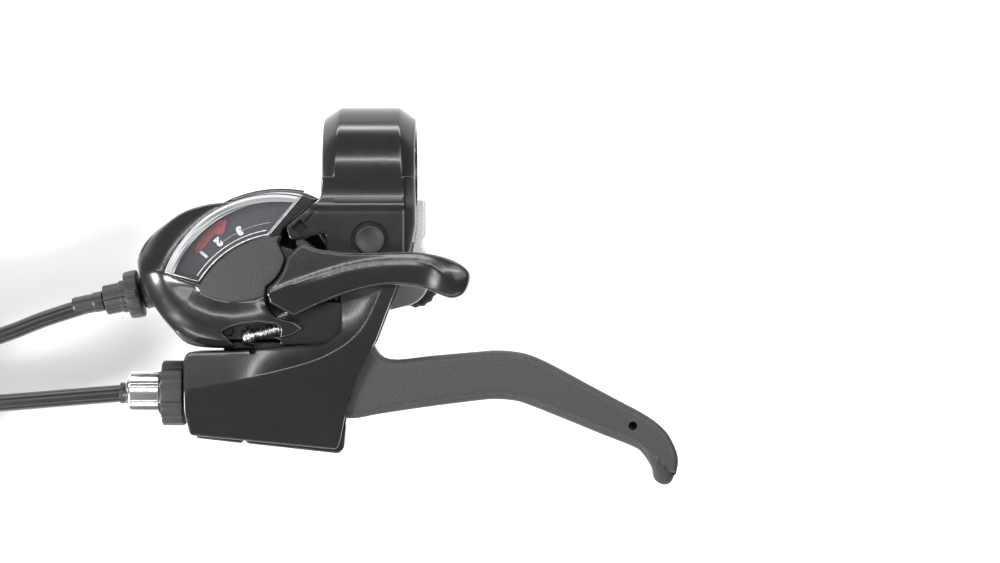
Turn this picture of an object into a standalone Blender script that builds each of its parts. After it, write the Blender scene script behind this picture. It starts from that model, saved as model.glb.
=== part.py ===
"""Left-hand shift and brake unit for a 22.2 mm flat handlebar.

The bar runs along X through the origin, with the grip towards +X. The rider sits towards +Y and +Z is up.
Sizes are in millimetres and are scaled to metres when a mesh is made.
"""

import math

import bmesh
import bpy
from mathutils import Matrix, Vector

MM = 0.001
GAP = 0.35  # clearance between neighbouring pieces

# Handlebar clamp
BAR_RADIUS = 11.1
BAND_RADIUS = 17.4
BAND_LEFT = -13.0
BAND_RIGHT = 13.4
EAR_RIGHT = 15.7
SLIT_LOW = -8.6
SLIT_HIGH = -7.3
CLAMP_BOLT = (9.0, -15.3)

# Heights of the bracket
ARM_LOW = -12.5
ARM_HIGH = 13.0
LEVER_LOW = -2.0
LEVER_HIGH = 8.0
SLOT_MARGIN = 0.5
CABLE_HEIGHT = 3.0
PLATFORM_HIGH = -10.3

# Axes of the moving pieces
BRAKE_PIVOT = (0.6, -21.1)
DRUM_AXIS = (-24.5, -44.4)
RELEASE_AXIS = (-34.2, -24.8)
HOLDING_AXIS = (-13.2, -28.2)
DRIVE_PAWL_RADIUS = 17.0
DRIVE_PAWL_ANGLE = 190.0

# Shifter case
WALL = 1.6
TUB_LOW = -10.0
TUB_FLOOR = 1.5
TUB_HIGH = 6.2
DECK_THICKNESS = 1.2
COVER_LOW = 8.1
COVER_HIGH = 13.6
COVER_SKIN = 1.8

# Cable drum
SLEEVE_RADIUS = 4.2
DRUM_RIM = 17.4
DRUM_GROOVE = 15.6
RATCHET_RADIUS = 12.9
RATCHET_LOW = -5.4
RATCHET_HIGH = -4.2
DRUM_HIGH = 1.8
SHIFT_CABLE_HEIGHT = -1.2

# Window over the dial: centre and radius of its outer and inner edge
LENS_OUTER = ((-25.0, -42.4), 32.9)
LENS_INNER = ((-23.6, -47.5), 29.3)

# Screws that stand along Z
UNIT_SCREW = (-40.0, -34.0)
CASE_SCREWS = ((-57.5, -40.8), (-47.8, -46.6))

# Cable stops
BRAKE_STOP_Y = -65.0
RING_FLUTES = 12
SHIFT_STOP = (-63.0, -35.5)
SHIFT_DIRECTION = (-0.979, -0.205)

# Reach screw
REACH_HEAD = (-34.5, -48.8)
REACH_DIRECTION = (0.968, 0.252)
REACH_HEIGHT = 5.5

# Bowden housings: diameter, and the radius and topmost point of each coil
SHIFT_HOUSING = 4.7
BRAKE_HOUSING = 5.0
SHIFT_COIL_TOP = (-143.0, -53.5, -3.0)
BRAKE_COIL_TOP = (-143.0, -69.0, 1.0)
SHIFT_COIL_RADIUS = 24.0
BRAKE_COIL_RADIUS = 26.1
COIL_TURNS = 3
TURN_GAP = 0.2
TIE_SLACK = 0.7
TIE_THICKNESS = 1.3
TIE_WIDTH = 6.0


def clear_scene():
    for obj in list(bpy.data.objects):
        bpy.data.objects.remove(obj, do_unlink=True)


def material(name, colour, roughness, metallic=0.0, alpha=1.0):
    made = bpy.data.materials.new(name)
    made.use_nodes = True
    shader = made.node_tree.nodes["Principled BSDF"]
    shader.inputs["Base Color"].default_value = (*colour, 1.0)
    shader.inputs["Roughness"].default_value = roughness
    shader.inputs["Metallic"].default_value = metallic
    shader.inputs["Alpha"].default_value = alpha
    return made


def mesh_object(name, bm, finish=None):
    bmesh.ops.recalc_face_normals(bm, faces=bm.faces)
    mesh = bpy.data.meshes.new(name)
    bm.to_mesh(mesh)
    bm.free()
    obj = bpy.data.objects.new(name, mesh)
    bpy.context.scene.collection.objects.link(obj)
    if finish:
        mesh.materials.append(finish)
    return obj


def axis_empty(name, x, y, z=0.0):
    empty = bpy.data.objects.new(name, None)
    empty.location = (x * MM, y * MM, z * MM)
    bpy.context.scene.collection.objects.link(empty)
    return empty


def mount_on(empty, *pieces):
    """Parents pieces to the empty on their joint's axis, and gives them that origin."""
    for obj in pieces:
        obj.data.transform(Matrix.Translation(-empty.location))
        obj.parent = empty


def prism(name, outline, low, high, finish=None):
    """A straight extrusion of an outline in X and Y."""
    bm = bmesh.new()
    face = bm.faces.new([bm.verts.new((x * MM, y * MM, low * MM)) for x, y in outline])
    extruded = bmesh.ops.extrude_face_region(bm, geom=[face])
    top = [v for v in extruded["geom"] if isinstance(v, bmesh.types.BMVert)]
    bmesh.ops.translate(bm, verts=top, vec=(0.0, 0.0, (high - low) * MM))
    return mesh_object(name, bm, finish)


def turned(name, profile, origin, axis, finish=None, bored=False, segments=20):
    """Turns a profile of (distance along the axis, radius) about an axis from the origin."""
    direction = Vector(axis).normalized()
    side = direction.orthogonal().normalized()
    other = direction.cross(side)
    bm = bmesh.new()
    rings = []
    for along, radius in profile:
        ring = []
        for i in range(segments):
            angle = 2.0 * math.pi * i / segments
            spoke = side * math.cos(angle) + other * math.sin(angle)
            ring.append(bm.verts.new((Vector(origin) + direction * along + spoke * radius) * MM))
        rings.append(ring)
    pairs = list(zip(rings, rings[1:]))
    if bored:
        pairs.append((rings[-1], rings[0]))
    else:
        bm.faces.new(rings[0])
        bm.faces.new(rings[-1])
    for first, second in pairs:
        for i in range(segments):
            j = (i + 1) % segments
            bm.faces.new((first[i], first[j], second[j], second[i]))
    return mesh_object(name, bm, finish)


def upright(name, centre, radius, low, high, finish=None, bore=0.0, segments=20):
    """A cylinder, or a sleeve where it has a bore, that stands along Z."""
    profile = [(low, radius), (high, radius)]
    if bore:
        profile = [(low, bore), (low, radius), (high, radius), (high, bore)]
    origin = (centre[0], centre[1], 0.0)
    return turned(name, profile, origin, (0, 0, 1), finish, bored=bool(bore), segments=segments)


def arc(centre, radius, first, last, steps):
    """Points of an arc between two angles in degrees."""
    points = []
    for i in range(steps + 1):
        angle = math.radians(first + (last - first) * i / steps)
        points.append((centre[0] + radius * math.cos(angle), centre[1] + radius * math.sin(angle)))
    return points


def polar(centre, radius, degrees):
    return arc(centre, radius, degrees, degrees, 1)[0]


def smooth(points, steps=3):
    """A closed Catmull-Rom curve through the points."""
    count = len(points)
    curve = []
    for i in range(count):
        p0, p1, p2, p3 = (Vector(points[(i + k - 1) % count]) for k in range(4))
        for s in range(steps):
            t = s / steps
            point = 0.5 * (
                2 * p1
                + (p2 - p0) * t
                + (2 * p0 - 5 * p1 + 4 * p2 - p3) * t**2
                + (3 * p1 - p0 - 3 * p2 + p3) * t**3
            )
            curve.append(tuple(point))
    return curve


def inset(outline, distance):
    """The outline moved inwards by a distance, for a closed outline without tight notches."""
    count = len(outline)
    area = sum(
        outline[i][0] * outline[(i + 1) % count][1] - outline[(i + 1) % count][0] * outline[i][1]
        for i in range(count)
    )
    turn = 1.0 if area > 0 else -1.0
    moved = []
    for i in range(count):
        here = Vector(outline[i])
        before = (here - Vector(outline[i - 1])).normalized()
        after = (Vector(outline[(i + 1) % count]) - here).normalized()
        normal = Vector((-(before.y + after.y), before.x + after.x)).normalized() * turn
        scale = max(0.5, normal.dot(Vector((-before.y, before.x)) * turn))
        moved.append(tuple(here + normal * (distance / scale)))
    return moved


def boolean(target, operation, tools):
    for tool in tools:
        tool.hide_render = True
        tool.display_type = "WIRE"
        step = target.modifiers.new(operation.lower(), "BOOLEAN")
        step.operation = operation
        step.solver = "EXACT"
        step.object = tool
    bpy.context.view_layer.update()
    result = target.evaluated_get(bpy.context.evaluated_depsgraph_get())
    mesh = bpy.data.meshes.new_from_object(result)
    mesh.name = target.name
    target.modifiers.clear()
    target.data = mesh
    for tool in tools:
        bpy.data.objects.remove(tool, do_unlink=True)
    return target


def cut(target, *tools):
    return boolean(target, "DIFFERENCE", tools)


def join(target, *tools):
    return boolean(target, "UNION", tools)


# Outlines seen from above

ARM_OUTLINE = [
    (-13.0, -6.0),
    (-13.0, -17.5),
    (-9.6, -24.0),
    (-7.9, -28.0),
    (-7.9, -46.8),
    (-12.8, -52.6),
    (-24.0, -52.6),
    (-36.0, -53.6),
    (-51.4, -53.3),
    (-52.5, -55.0),
    (-52.5, -70.0),
    (-50.8, -76.8),
    (-8.5, -81.0),
    (-8.0, -78.0),
    (-5.7, -66.6),
    (-3.0, -59.1),
    (2.3, -49.5),
    (5.2, -41.7),
    (8.2, -34.3),
    (12.2, -23.8),
    (13.4, -16.8),
    (13.4, -6.0),
]
LEVER_OUTLINE = [
    (-5.0, -27.0),
    (-4.6, -34.0),
    (-4.7, -41.0),
    (-6.5, -49.0),
    (-12.5, -57.5),
    (-14.3, -64.5),
    (-12.0, -70.5),
    (-5.1, -72.2),
    (2.6, -71.0),
    (16.1, -69.0),
    (29.5, -67.3),
    (36.2, -66.7),
    (42.2, -67.2),
    (46.3, -68.5),
    (56.4, -72.5),
    (66.4, -76.6),
    (75.8, -80.3),
    (78.5, -82.3),
    (81.2, -86.3),
    (82.2, -90.0),
    (84.9, -91.5),
    (87.2, -90.3),
    (88.6, -85.6),
    (88.2, -81.6),
    (85.2, -75.9),
    (79.8, -71.5),
    (71.8, -67.2),
    (61.7, -61.8),
    (51.6, -56.4),
    (44.9, -53.7),
    (37.5, -52.8),
    (30.8, -53.2),
    (18.1, -54.3),
    (6.0, -55.3),
    (1.6, -51.7),
    (1.0, -47.0),
    (2.4, -41.0),
    (4.4, -34.0),
    (6.0, -27.0),
]
RELEASE_OUTLINE = [
    (-22.5, -26.2),
    (-18.4, -22.2),
    (-9.6, -24.2),
    (5.2, -24.6),
    (17.2, -25.0),
    (26.4, -27.9),
    (29.0, -29.9),
    (28.4, -34.2),
    (24.0, -37.7),
    (16.4, -34.9),
    (7.2, -33.8),
    (1.2, -34.5),
    (-6.8, -36.7),
    (-14.8, -39.9),
    (-20.7, -42.4),
    (-27.2, -38.9),
    (-28.5, -35.6),
    (-25.6, -32.8),
    (-23.5, -29.0),
]
CASE_OUTLINE = [
    (-14.5, -11.8),
    (-46.6, -11.6),
    (-54.2, -13.8),
    (-62.5, -20.0),
    (-65.9, -25.5),
    (-65.9, -30.1),
    (-63.3, -36.7),
    (-59.7, -42.5),
    (-56.1, -46.8),
    (-51.7, -50.8),
    (-43.7, -52.0),
    (-13.2, -52.0),
    (-8.4, -46.6),
    (-8.4, -28.0),
    (-10.2, -23.6),
    (-13.6, -17.0),
]
COVER_OUTLINE = [
    (-18.5, -12.0),
    (-46.6, -11.9),
    (-53.8, -14.4),
    (-61.8, -20.6),
    (-64.8, -25.5),
    (-64.8, -29.9),
    (-62.0, -36.3),
    (-58.4, -42.0),
    (-54.8, -46.0),
    (-50.6, -49.8),
    (-43.2, -51.0),
    (-38.6, -50.8),
    (-37.8, -44.6),
    (-30.5, -42.6),
    (-30.2, -37.6),
    (-24.2, -31.0),
    (-22.4, -24.6),
    (-24.6, -17.4),
]
REACH_WAY = [(-38.8, -60.0), (-38.8, -46.2), (-24.0, -42.2), (-24.0, -60.0)]
BRIDGE_OUTLINE = [(-25.5, -52.8), (-25.5, -43.0), (-12.0, -38.8), (-7.0, -38.8), (-7.0, -52.8)]


def make_bracket(finish):
    """Band clamp, lever arm, cable stop and the platform under the shifter, in one casting."""
    body = prism("bracket_body", ARM_OUTLINE, ARM_LOW, ARM_HIGH, finish)
    band_profile = [(BAND_LEFT, BAND_RADIUS), (BAND_RIGHT, BAND_RADIUS)]
    band = turned("band", band_profile, (0, 0, 0), (1, 0, 0), segments=32)
    ear_outline = [(BAND_LEFT, -9.0), (EAR_RIGHT, -9.0), (EAR_RIGHT, -27.0), (-4.0, -27.0), (-8.6, -24.0)]
    ear_outline.append((BAND_LEFT + 0.3, -16.4))
    ear = prism("ear", ear_outline, -17.2, SLIT_LOW - 0.4)
    platform_outline = [(-43.4, -24.0), (-43.4, -56.0), (-7.0, -56.0), (-7.0, -24.0), (-14.0, -20.0)]
    platform = prism("platform", platform_outline, ARM_LOW, PLATFORM_HIGH)
    bridge = prism("bridge", BRIDGE_OUTLINE, 3.4, 12.4)
    join(body, band, ear, platform, bridge)

    # The underside of the cable stop is higher than the platform
    relief = prism("relief", [(-60, -57), (20, -57), (20, -90), (-60, -90)], ARM_LOW - 1, -7.0)
    bore = turned("bore", [(-30, BAR_RADIUS), (30, BAR_RADIUS)], (0, 0, 0), (1, 0, 0), segments=32)
    slit_outline = [(-30, -7), (30, -7), (30, -40), (-6.9, -40), (-6.9, -30), (-30, -30)]
    slit = prism("slit", slit_outline, SLIT_LOW, SLIT_HIGH)
    slot_outline = arc(BRAKE_PIVOT, 6.8, -20, 200, 14)
    slot_outline += [(-5.8, -40.0), (-8.5, -49.5), (-16.5, -56.0), (-40.0, -58.0), (-40.0, -90.0)]
    slot_outline += [(40.0, -90.0), (40.0, -24.2), (7.2, -24.2)]
    slot = prism("slot", slot_outline, LEVER_LOW - SLOT_MARGIN, LEVER_HIGH + SLOT_MARGIN)
    pin_bore = upright("pin_bore", BRAKE_PIVOT, 3.0 + GAP, -6.6, 30)
    head_groove = upright("head_groove", BRAKE_PIVOT, 5.5, ARM_HIGH - 1.2, 30)
    bolt_bore = upright("bolt_bore", CLAMP_BOLT, 2.5 + GAP, -30, 7.0)
    axle_bore = upright("axle_bore", DRUM_AXIS, 6.4, -30, -9)
    screw_bore = upright("screw_bore", UNIT_SCREW, 2.0 + GAP, -30, -9)
    head = Vector((*REACH_HEAD, REACH_HEIGHT))
    reach = turned("reach", [(4, 2.0 + GAP), (34, 2.0 + GAP)], head, (*REACH_DIRECTION, 0), segments=20)
    stop_origin = (-60.0, BRAKE_STOP_Y, CABLE_HEIGHT)
    stop_bore = turned("stop_bore", [(0, 4.6 + GAP), (25, 4.6 + GAP)], stop_origin, (1, 0, 0))
    cut(body, relief, bore, slit, slot, pin_bore, head_groove)
    cut(body, bolt_bore, axle_bore, screw_bore, reach, stop_bore)
    return body


def make_clamp_bolt(finish):
    """M5 socket head bolt from below."""
    origin = (*CLAMP_BOLT, 0.0)
    profile = [(-22.6, 4.2), (-17.6, 4.2), (-17.6, 2.5), (6.6, 2.5)]
    bolt = turned("clamp_bolt", profile, origin, (0, 0, 1), finish)
    return cut(bolt, upright("socket", CLAMP_BOLT, 2.3, -24, -19.8, segments=6))


def make_pivot_pin(finish):
    profile = [(-6.2, 2.4), (-5.8, 3.0), (-2.9, 3.0), (-2.9, 2.5), (8.4, 2.5), (8.4, 3.0), (12.2, 3.0)]
    profile += [(12.2, 4.15), (13.0, 4.15), (13.3, 3.8)]
    return turned("brake_pivot_pin", profile, (*BRAKE_PIVOT, 0), (0, 0, 1), finish)


def make_brake_lever(finish, bush_finish, nipple_finish):
    lever = prism("brake_lever", LEVER_OUTLINE, LEVER_LOW, LEVER_HIGH, finish)
    boss = upright("boss", BRAKE_PIVOT, 6.2, LEVER_LOW, LEVER_HIGH)
    join(lever, boss)
    anchor = (-8.6, BRAKE_STOP_Y)
    pivot_bore = upright("pivot_bore", BRAKE_PIVOT, 3.6 + GAP, -10, 20)
    nipple_bore = upright("nipple_bore", anchor, 3.0 + GAP, -10, 20)
    wire_slot = prism("wire_slot", [(-20, -66.2), (-20, -63.8), (-9, -63.8), (-9, -66.2)], 1.6, 4.4)
    tip_hole = upright("tip_hole", (75.6, -74.2), 1.2, -10, 20, segments=16)
    cut(lever, pivot_bore, nipple_bore, wire_slot, tip_hole)
    bush = upright("lever_bush", BRAKE_PIVOT, 3.6, LEVER_LOW, LEVER_HIGH, bush_finish, bore=2.5 + GAP)
    nipple = upright("brake_cable_nipple", anchor, 3.0, LEVER_LOW + 0.5, LEVER_HIGH - 0.5, nipple_finish)
    hub = axis_empty("brake_lever_axis", *BRAKE_PIVOT)
    mount_on(hub, lever, bush, nipple)


def make_brake_adjuster(finish, ring_finish, ferrule_finish, wire_finish):
    """Lock ring, hollow barrel with a threaded stem, housing ferrule and the inner wire."""
    origin = (0, BRAKE_STOP_Y, CABLE_HEIGHT)
    axis = (1, 0, 0)
    profile = [(-59.4, 5.0), (-59.4, 9.0), (-58.9, 9.5), (-53.4, 9.5), (-52.9, 9.0), (-52.9, 5.0)]
    ring = turned("brake_lock_ring", profile, origin, axis, ring_finish, bored=True)
    flutes = []
    for i in range(RING_FLUTES):
        angle = 2 * math.pi * i / RING_FLUTES
        centre = (0, BRAKE_STOP_Y + 10.2 * math.cos(angle), CABLE_HEIGHT + 10.2 * math.sin(angle))
        flutes.append(turned("flute", [(-62, 1.3), (-50, 1.3)], centre, axis, segments=6))
    cut(ring, *flutes)
    profile = [(-69.6, 5.9), (-69.1, 6.45), (-60.2, 6.45), (-59.75, 5.9), (-59.75, 4.6), (-40.4, 4.6)]
    profile += [(-40.4, 1.4), (-64.0, 1.4), (-64.0, 2.95), (-69.6, 2.95)]
    barrel = turned("brake_adjuster", profile, origin, axis, finish, bored=True)
    profile = [(-71.6, 2.85), (-71.3, 3.0), (-69.95, 3.0), (-69.95, 2.6), (-64.35, 2.6), (-64.35, 1.3)]
    profile.append((-71.6, 1.3))
    turned("brake_ferrule", profile, origin, axis, ferrule_finish, bored=True, segments=24)
    turned("brake_inner_wire", [(-71.4, 0.75), (-12.0, 0.75)], origin, axis, wire_finish, segments=10)
    hub = axis_empty("brake_stop_axis", -60.0, BRAKE_STOP_Y, CABLE_HEIGHT)
    mount_on(hub, ring, barrel)


def make_case(tub_finish, deck_finish, cover_finish, lens_finish):
    """Tub, deck with the dial, upper cover and the clear window over the dial."""
    origin = Vector((*SHIFT_STOP, SHIFT_CABLE_HEIGHT))
    axis = (*SHIFT_DIRECTION, 0)
    tub = prism("case_tub", CASE_OUTLINE, TUB_LOW, TUB_HIGH, tub_finish)
    hollow = prism("hollow", inset(CASE_OUTLINE, WALL), TUB_LOW + TUB_FLOOR, TUB_HIGH + 5)
    boss = turned("boss", [(-3.0, 4.9), (3.0, 4.9)], origin, axis)
    cut(tub, hollow)
    join(tub, boss)
    stem_bore = turned("stem_bore", [(-8.0, 2.5 + GAP), (8.0, 2.5 + GAP)], origin, axis, segments=20)
    under_bridge = prism("under_bridge", inset(BRIDGE_OUTLINE, -GAP), 3.0, 20)
    axle_bore = upright("axle_bore", DRUM_AXIS, 4.9, -20, -7)
    screw_bore = upright("screw_bore", UNIT_SCREW, 2.0 + GAP, -20, -7, segments=20)
    reach_way = prism("reach_way", REACH_WAY, 2.3, 20)
    cut(tub, stem_bore, under_bridge, axle_bore, screw_bore, reach_way)
    posts = [upright("post", place, 2.6, -9.2, TUB_HIGH, segments=16) for place in CASE_SCREWS]
    join(tub, *posts)
    cut(tub, *[upright("hole", place, 1.2 + GAP, -20, 20, segments=16) for place in CASE_SCREWS])

    deck_low = TUB_HIGH + GAP
    deck_high = deck_low + DECK_THICKNESS
    deck = prism("case_deck", inset(CASE_OUTLINE, 0.6), deck_low, deck_high, deck_finish)
    pointer_slot = arc(DRUM_AXIS, 29.9, 103, 153, 16) + arc(DRUM_AXIS, 34.0, 153, 103, 16)
    pin_slot = arc(RELEASE_AXIS, 12.1, -7, 19, 8) + arc(RELEASE_AXIS, 15.3, 19, -7, 8)
    cut(
        deck,
        prism("pointer_slot", pointer_slot, 0, 20),
        prism("pin_slot", pin_slot, 0, 20),
        prism("under_bridge", inset(BRIDGE_OUTLINE, -GAP), 0, 20),
        upright("stud_hole", RELEASE_AXIS, 2.0 + GAP, 0, 20, segments=20),
        prism("reach_way", REACH_WAY, 0, 20),
        *[upright("hole", place, 1.2 + GAP, 0, 20, segments=16) for place in CASE_SCREWS],
    )

    cover = prism("case_cover", COVER_OUTLINE, COVER_LOW, COVER_HIGH, cover_finish)
    room = prism("room", inset(COVER_OUTLINE, 1.5), 0, COVER_HIGH - COVER_SKIN)
    swing = [RELEASE_AXIS, *arc(RELEASE_AXIS, 20.0, -75, 40, 10)]
    way_out = prism("way_out", swing, 0, COVER_HIGH - COVER_SKIN)
    window = prism("window", inset(window_outline(), -GAP), 0, 30)
    cut(cover, room, way_out, window)
    for place in CASE_SCREWS:
        join(cover, upright("lug", place, 2.4, COVER_LOW, COVER_HIGH - 1.0, segments=16))
        cut(cover, upright("hole", place, 1.2 + GAP, 0, COVER_HIGH - 2.0, segments=16))
    prism("indicator_lens", window_outline(), COVER_HIGH - 2.0, COVER_HIGH + 0.6, lens_finish)


def window_outline():
    """Crescent between two arcs, with blunt ends."""
    outer_centre, outer = LENS_OUTER
    inner_centre, inner = LENS_INNER
    return arc(outer_centre, outer, 112, 154, 18) + arc(inner_centre, inner, 148, 104, 18)


def make_case_screws(finish):
    """Two long self-tapping screws from below."""
    profile = [(-11.9, 2.2), (-10.35, 2.2), (-10.35, 1.2), (COVER_HIGH - 2.6, 1.2)]
    for number, (x, y) in enumerate(CASE_SCREWS, 1):
        turned(f"case_screw_{number}", profile, (x, y, 0), (0, 0, 1), finish, segments=16)


def make_axles(finish, nut_finish):
    """Fixed steel pieces inside the case."""
    plate_outline = [(-43.5, -28.0), (-43.5, -48.5), (-14.9, -48.5), (-11.2, -44.6), (-11.0, -27.0)]
    plate_outline += [(-13.5, -24.5), (-18.0, -24.5)]
    plate = prism("chassis_plate", plate_outline, -8.15, -7.25, finish)
    cut(plate, upright("hub_hole", DRUM_AXIS, 4.9, -20, 0))
    cut(plate, upright("pin_hole", HOLDING_AXIS, 1.5 + GAP, -20, 0))
    cut(plate, upright("screw_hole", UNIT_SCREW, 2.0 + GAP, -20, 0))
    turned("main_axle", [(-19.0, 2.4), (2.9, 2.4)], (*DRUM_AXIS, 0), (0, 0, 1), finish, segments=24)
    nut = upright("axle_nut", DRUM_AXIS, 4.4, -18.6, -17.4, nut_finish, segments=6)
    cut(nut, upright("thread", DRUM_AXIS, 2.4 + GAP, -30, 0))
    stud = [(4.6, 3.0), (6.1, 3.0), (6.1, 2.0), (11.0, 2.0)]
    turned("release_axle", stud, (*RELEASE_AXIS, 0), (0, 0, 1), finish, segments=24)
    pin = [(-8.2, 1.5), (-4.1, 1.5), (-4.1, 1.1), (-1.0, 1.1)]
    turned("holding_pawl_pin", pin, (*HOLDING_AXIS, 0), (0, 0, 1), finish, segments=16)
    unit = [(-15.2, 3.6), (-12.9, 3.6), (-12.9, 2.0), (-7.3, 2.0)]
    turned("unit_screw", unit, (*UNIT_SCREW, 0), (0, 0, 1), finish, segments=20)


def make_release_lever(finish, pin_finish, spring_finish):
    """Upper lever: a flat hub under the matte boss and a thick handle outside it."""
    lever = prism("release_lever", RELEASE_OUTLINE, 14.0, 19.0, finish)
    root_outline = [(-33.0, -20.4), (-18.4, -22.2), (-15.0, -30.0), (-18.5, -40.4), (-26.5, -37.4)]
    root_outline.append((-36.0, -28.5))
    root = prism("root", root_outline, 8.4, 11.2)
    riser_outline = [(-20.8, -24.6), (-17.6, -23.4), (-13.8, -30.0), (-17.5, -40.0), (-22.6, -39.8)]
    riser_outline.append((-23.6, -35.0))
    riser = prism("riser", riser_outline, 8.4, 15.0)
    hub_disc = upright("hub_disc", RELEASE_AXIS, 5.0, 8.4, 11.2)
    join(lever, root, riser, hub_disc)
    pin_place = polar(RELEASE_AXIS, 13.7, 0)
    cut(lever, upright("hub_bore", RELEASE_AXIS, 2.0 + GAP, 0, 30, segments=20),
        upright("pin_hole", pin_place, 1.0 + GAP, 0, 12.0, segments=16))
    pin = upright("release_pin", pin_place, 1.0, -4.6, 11.6, pin_finish, segments=12)
    hub = axis_empty("release_lever_axis", *RELEASE_AXIS)
    mount_on(hub, lever, pin)


def make_drum(drum_finish, needle_finish, wire_finish):
    """Drum with its cable groove and ratchet, the needle of the dial, and the end of the inner wire."""
    drum = upright("cable_drum", DRUM_AXIS, 5.6, RATCHET_LOW, DRUM_HIGH, drum_finish)
    holding = prism("holding", ratchet_outline(62.0), RATCHET_LOW + 0.1, RATCHET_HIGH)
    drive = prism("drive", ratchet_outline(148.0), RATCHET_LOW + 0.1, RATCHET_HIGH)
    lower_rim = prism("lower_rim", sector(DRUM_AXIS, 4.6, DRUM_RIM, 48, 119), RATCHET_HIGH + 0.3, -2.1)
    groove = prism("groove", sector(DRUM_AXIS, 4.3, DRUM_GROOVE, 49, 118), -2.6, 0.1)
    upper_rim = prism("upper_rim", sector(DRUM_AXIS, 4.6, DRUM_RIM, 48, 119), -0.3, DRUM_HIGH - 0.1)
    join(drum, holding, drive, lower_rim, groove, upper_rim)
    head_place = polar(DRUM_AXIS, 14.3, 56)
    cut(drum, upright("bore", DRUM_AXIS, 2.4 + GAP, -20, 20, segments=24),
        upright("spring_seat", DRUM_AXIS, 4.85, -2.0, 20, segments=24),
        upright("head_seat", head_place, 2.3 + GAP, -3.6, 20, segments=16),
        upright("head_mouth", polar(DRUM_AXIS, 16.6, 58), 1.4, -3.0, 1.0, segments=12))
    head = upright("shift_cable_head", head_place, 2.2, -3.2, 1.2, wire_finish, segments=16)

    needle = upright("indicator_needle", DRUM_AXIS, 5.0, 2.15, 3.0, needle_finish)
    arm_outline = [polar(DRUM_AXIS, 3.0, 40), polar(DRUM_AXIS, 33.3, 127.6), polar(DRUM_AXIS, 33.3, 132.0)]
    arm_outline.append(polar(DRUM_AXIS, 3.0, 220))
    tip_outline = arc(DRUM_AXIS, 30.5, 126.5, 133, 3) + arc(DRUM_AXIS, 33.4, 133, 126.5, 3)
    join(needle, prism("arm", arm_outline, 2.15, 3.0), prism("tip", tip_outline, 2.15, 7.6))
    cut(needle, upright("bore", DRUM_AXIS, 2.4 + GAP, -20, 20, segments=24))
    hub = axis_empty("cable_drum_axis", *DRUM_AXIS)
    mount_on(hub, drum, needle, head)


def sector(centre, inner, outer, first, last):
    """A ring sector between two angles in degrees."""
    return arc(centre, outer, first, last, 16) + arc(centre, inner, last, first, 6)


def ratchet_outline(first):
    """A ratchet sector with three notches, one for each position of the dial."""
    step = 12.0
    root = RATCHET_RADIUS - 1.5
    points = []
    for i in range(3):
        start = first + i * step
        points += [polar(DRUM_AXIS, RATCHET_RADIUS, start), polar(DRUM_AXIS, RATCHET_RADIUS, start + 5.5)]
        points += [polar(DRUM_AXIS, root, start + 6), polar(DRUM_AXIS, root, start + 11.5)]
    points.append(polar(DRUM_AXIS, RATCHET_RADIUS, first + 3 * step))
    return points + arc(DRUM_AXIS, 5.0, first + 3 * step, first, 6)


def make_pawls(finish):
    """Holding pawl on its fixed pin, worked by the release pin."""
    tail = [(-19.9, -20.4), (-21.8, -20.8), (-21.6, -22.2), (-16.0, -25.6), (-17.2, -27.2)]
    tooth = [(-23.4, -28.6), (-23.1, -31.3), (-22.55, -31.35), (-22.0, -29.8), (-18.0, -31.0)]
    outline = arc(HOLDING_AXIS, 2.6, -95, 75, 6) + tail + tooth
    pawl = prism("holding_pawl", outline, RATCHET_LOW, RATCHET_HIGH, finish)
    cut(pawl, upright("bore", HOLDING_AXIS, 1.5 + GAP, -20, 20, segments=20))
    hub = axis_empty("holding_pawl_axis", *HOLDING_AXIS)
    mount_on(hub, pawl)


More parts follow.
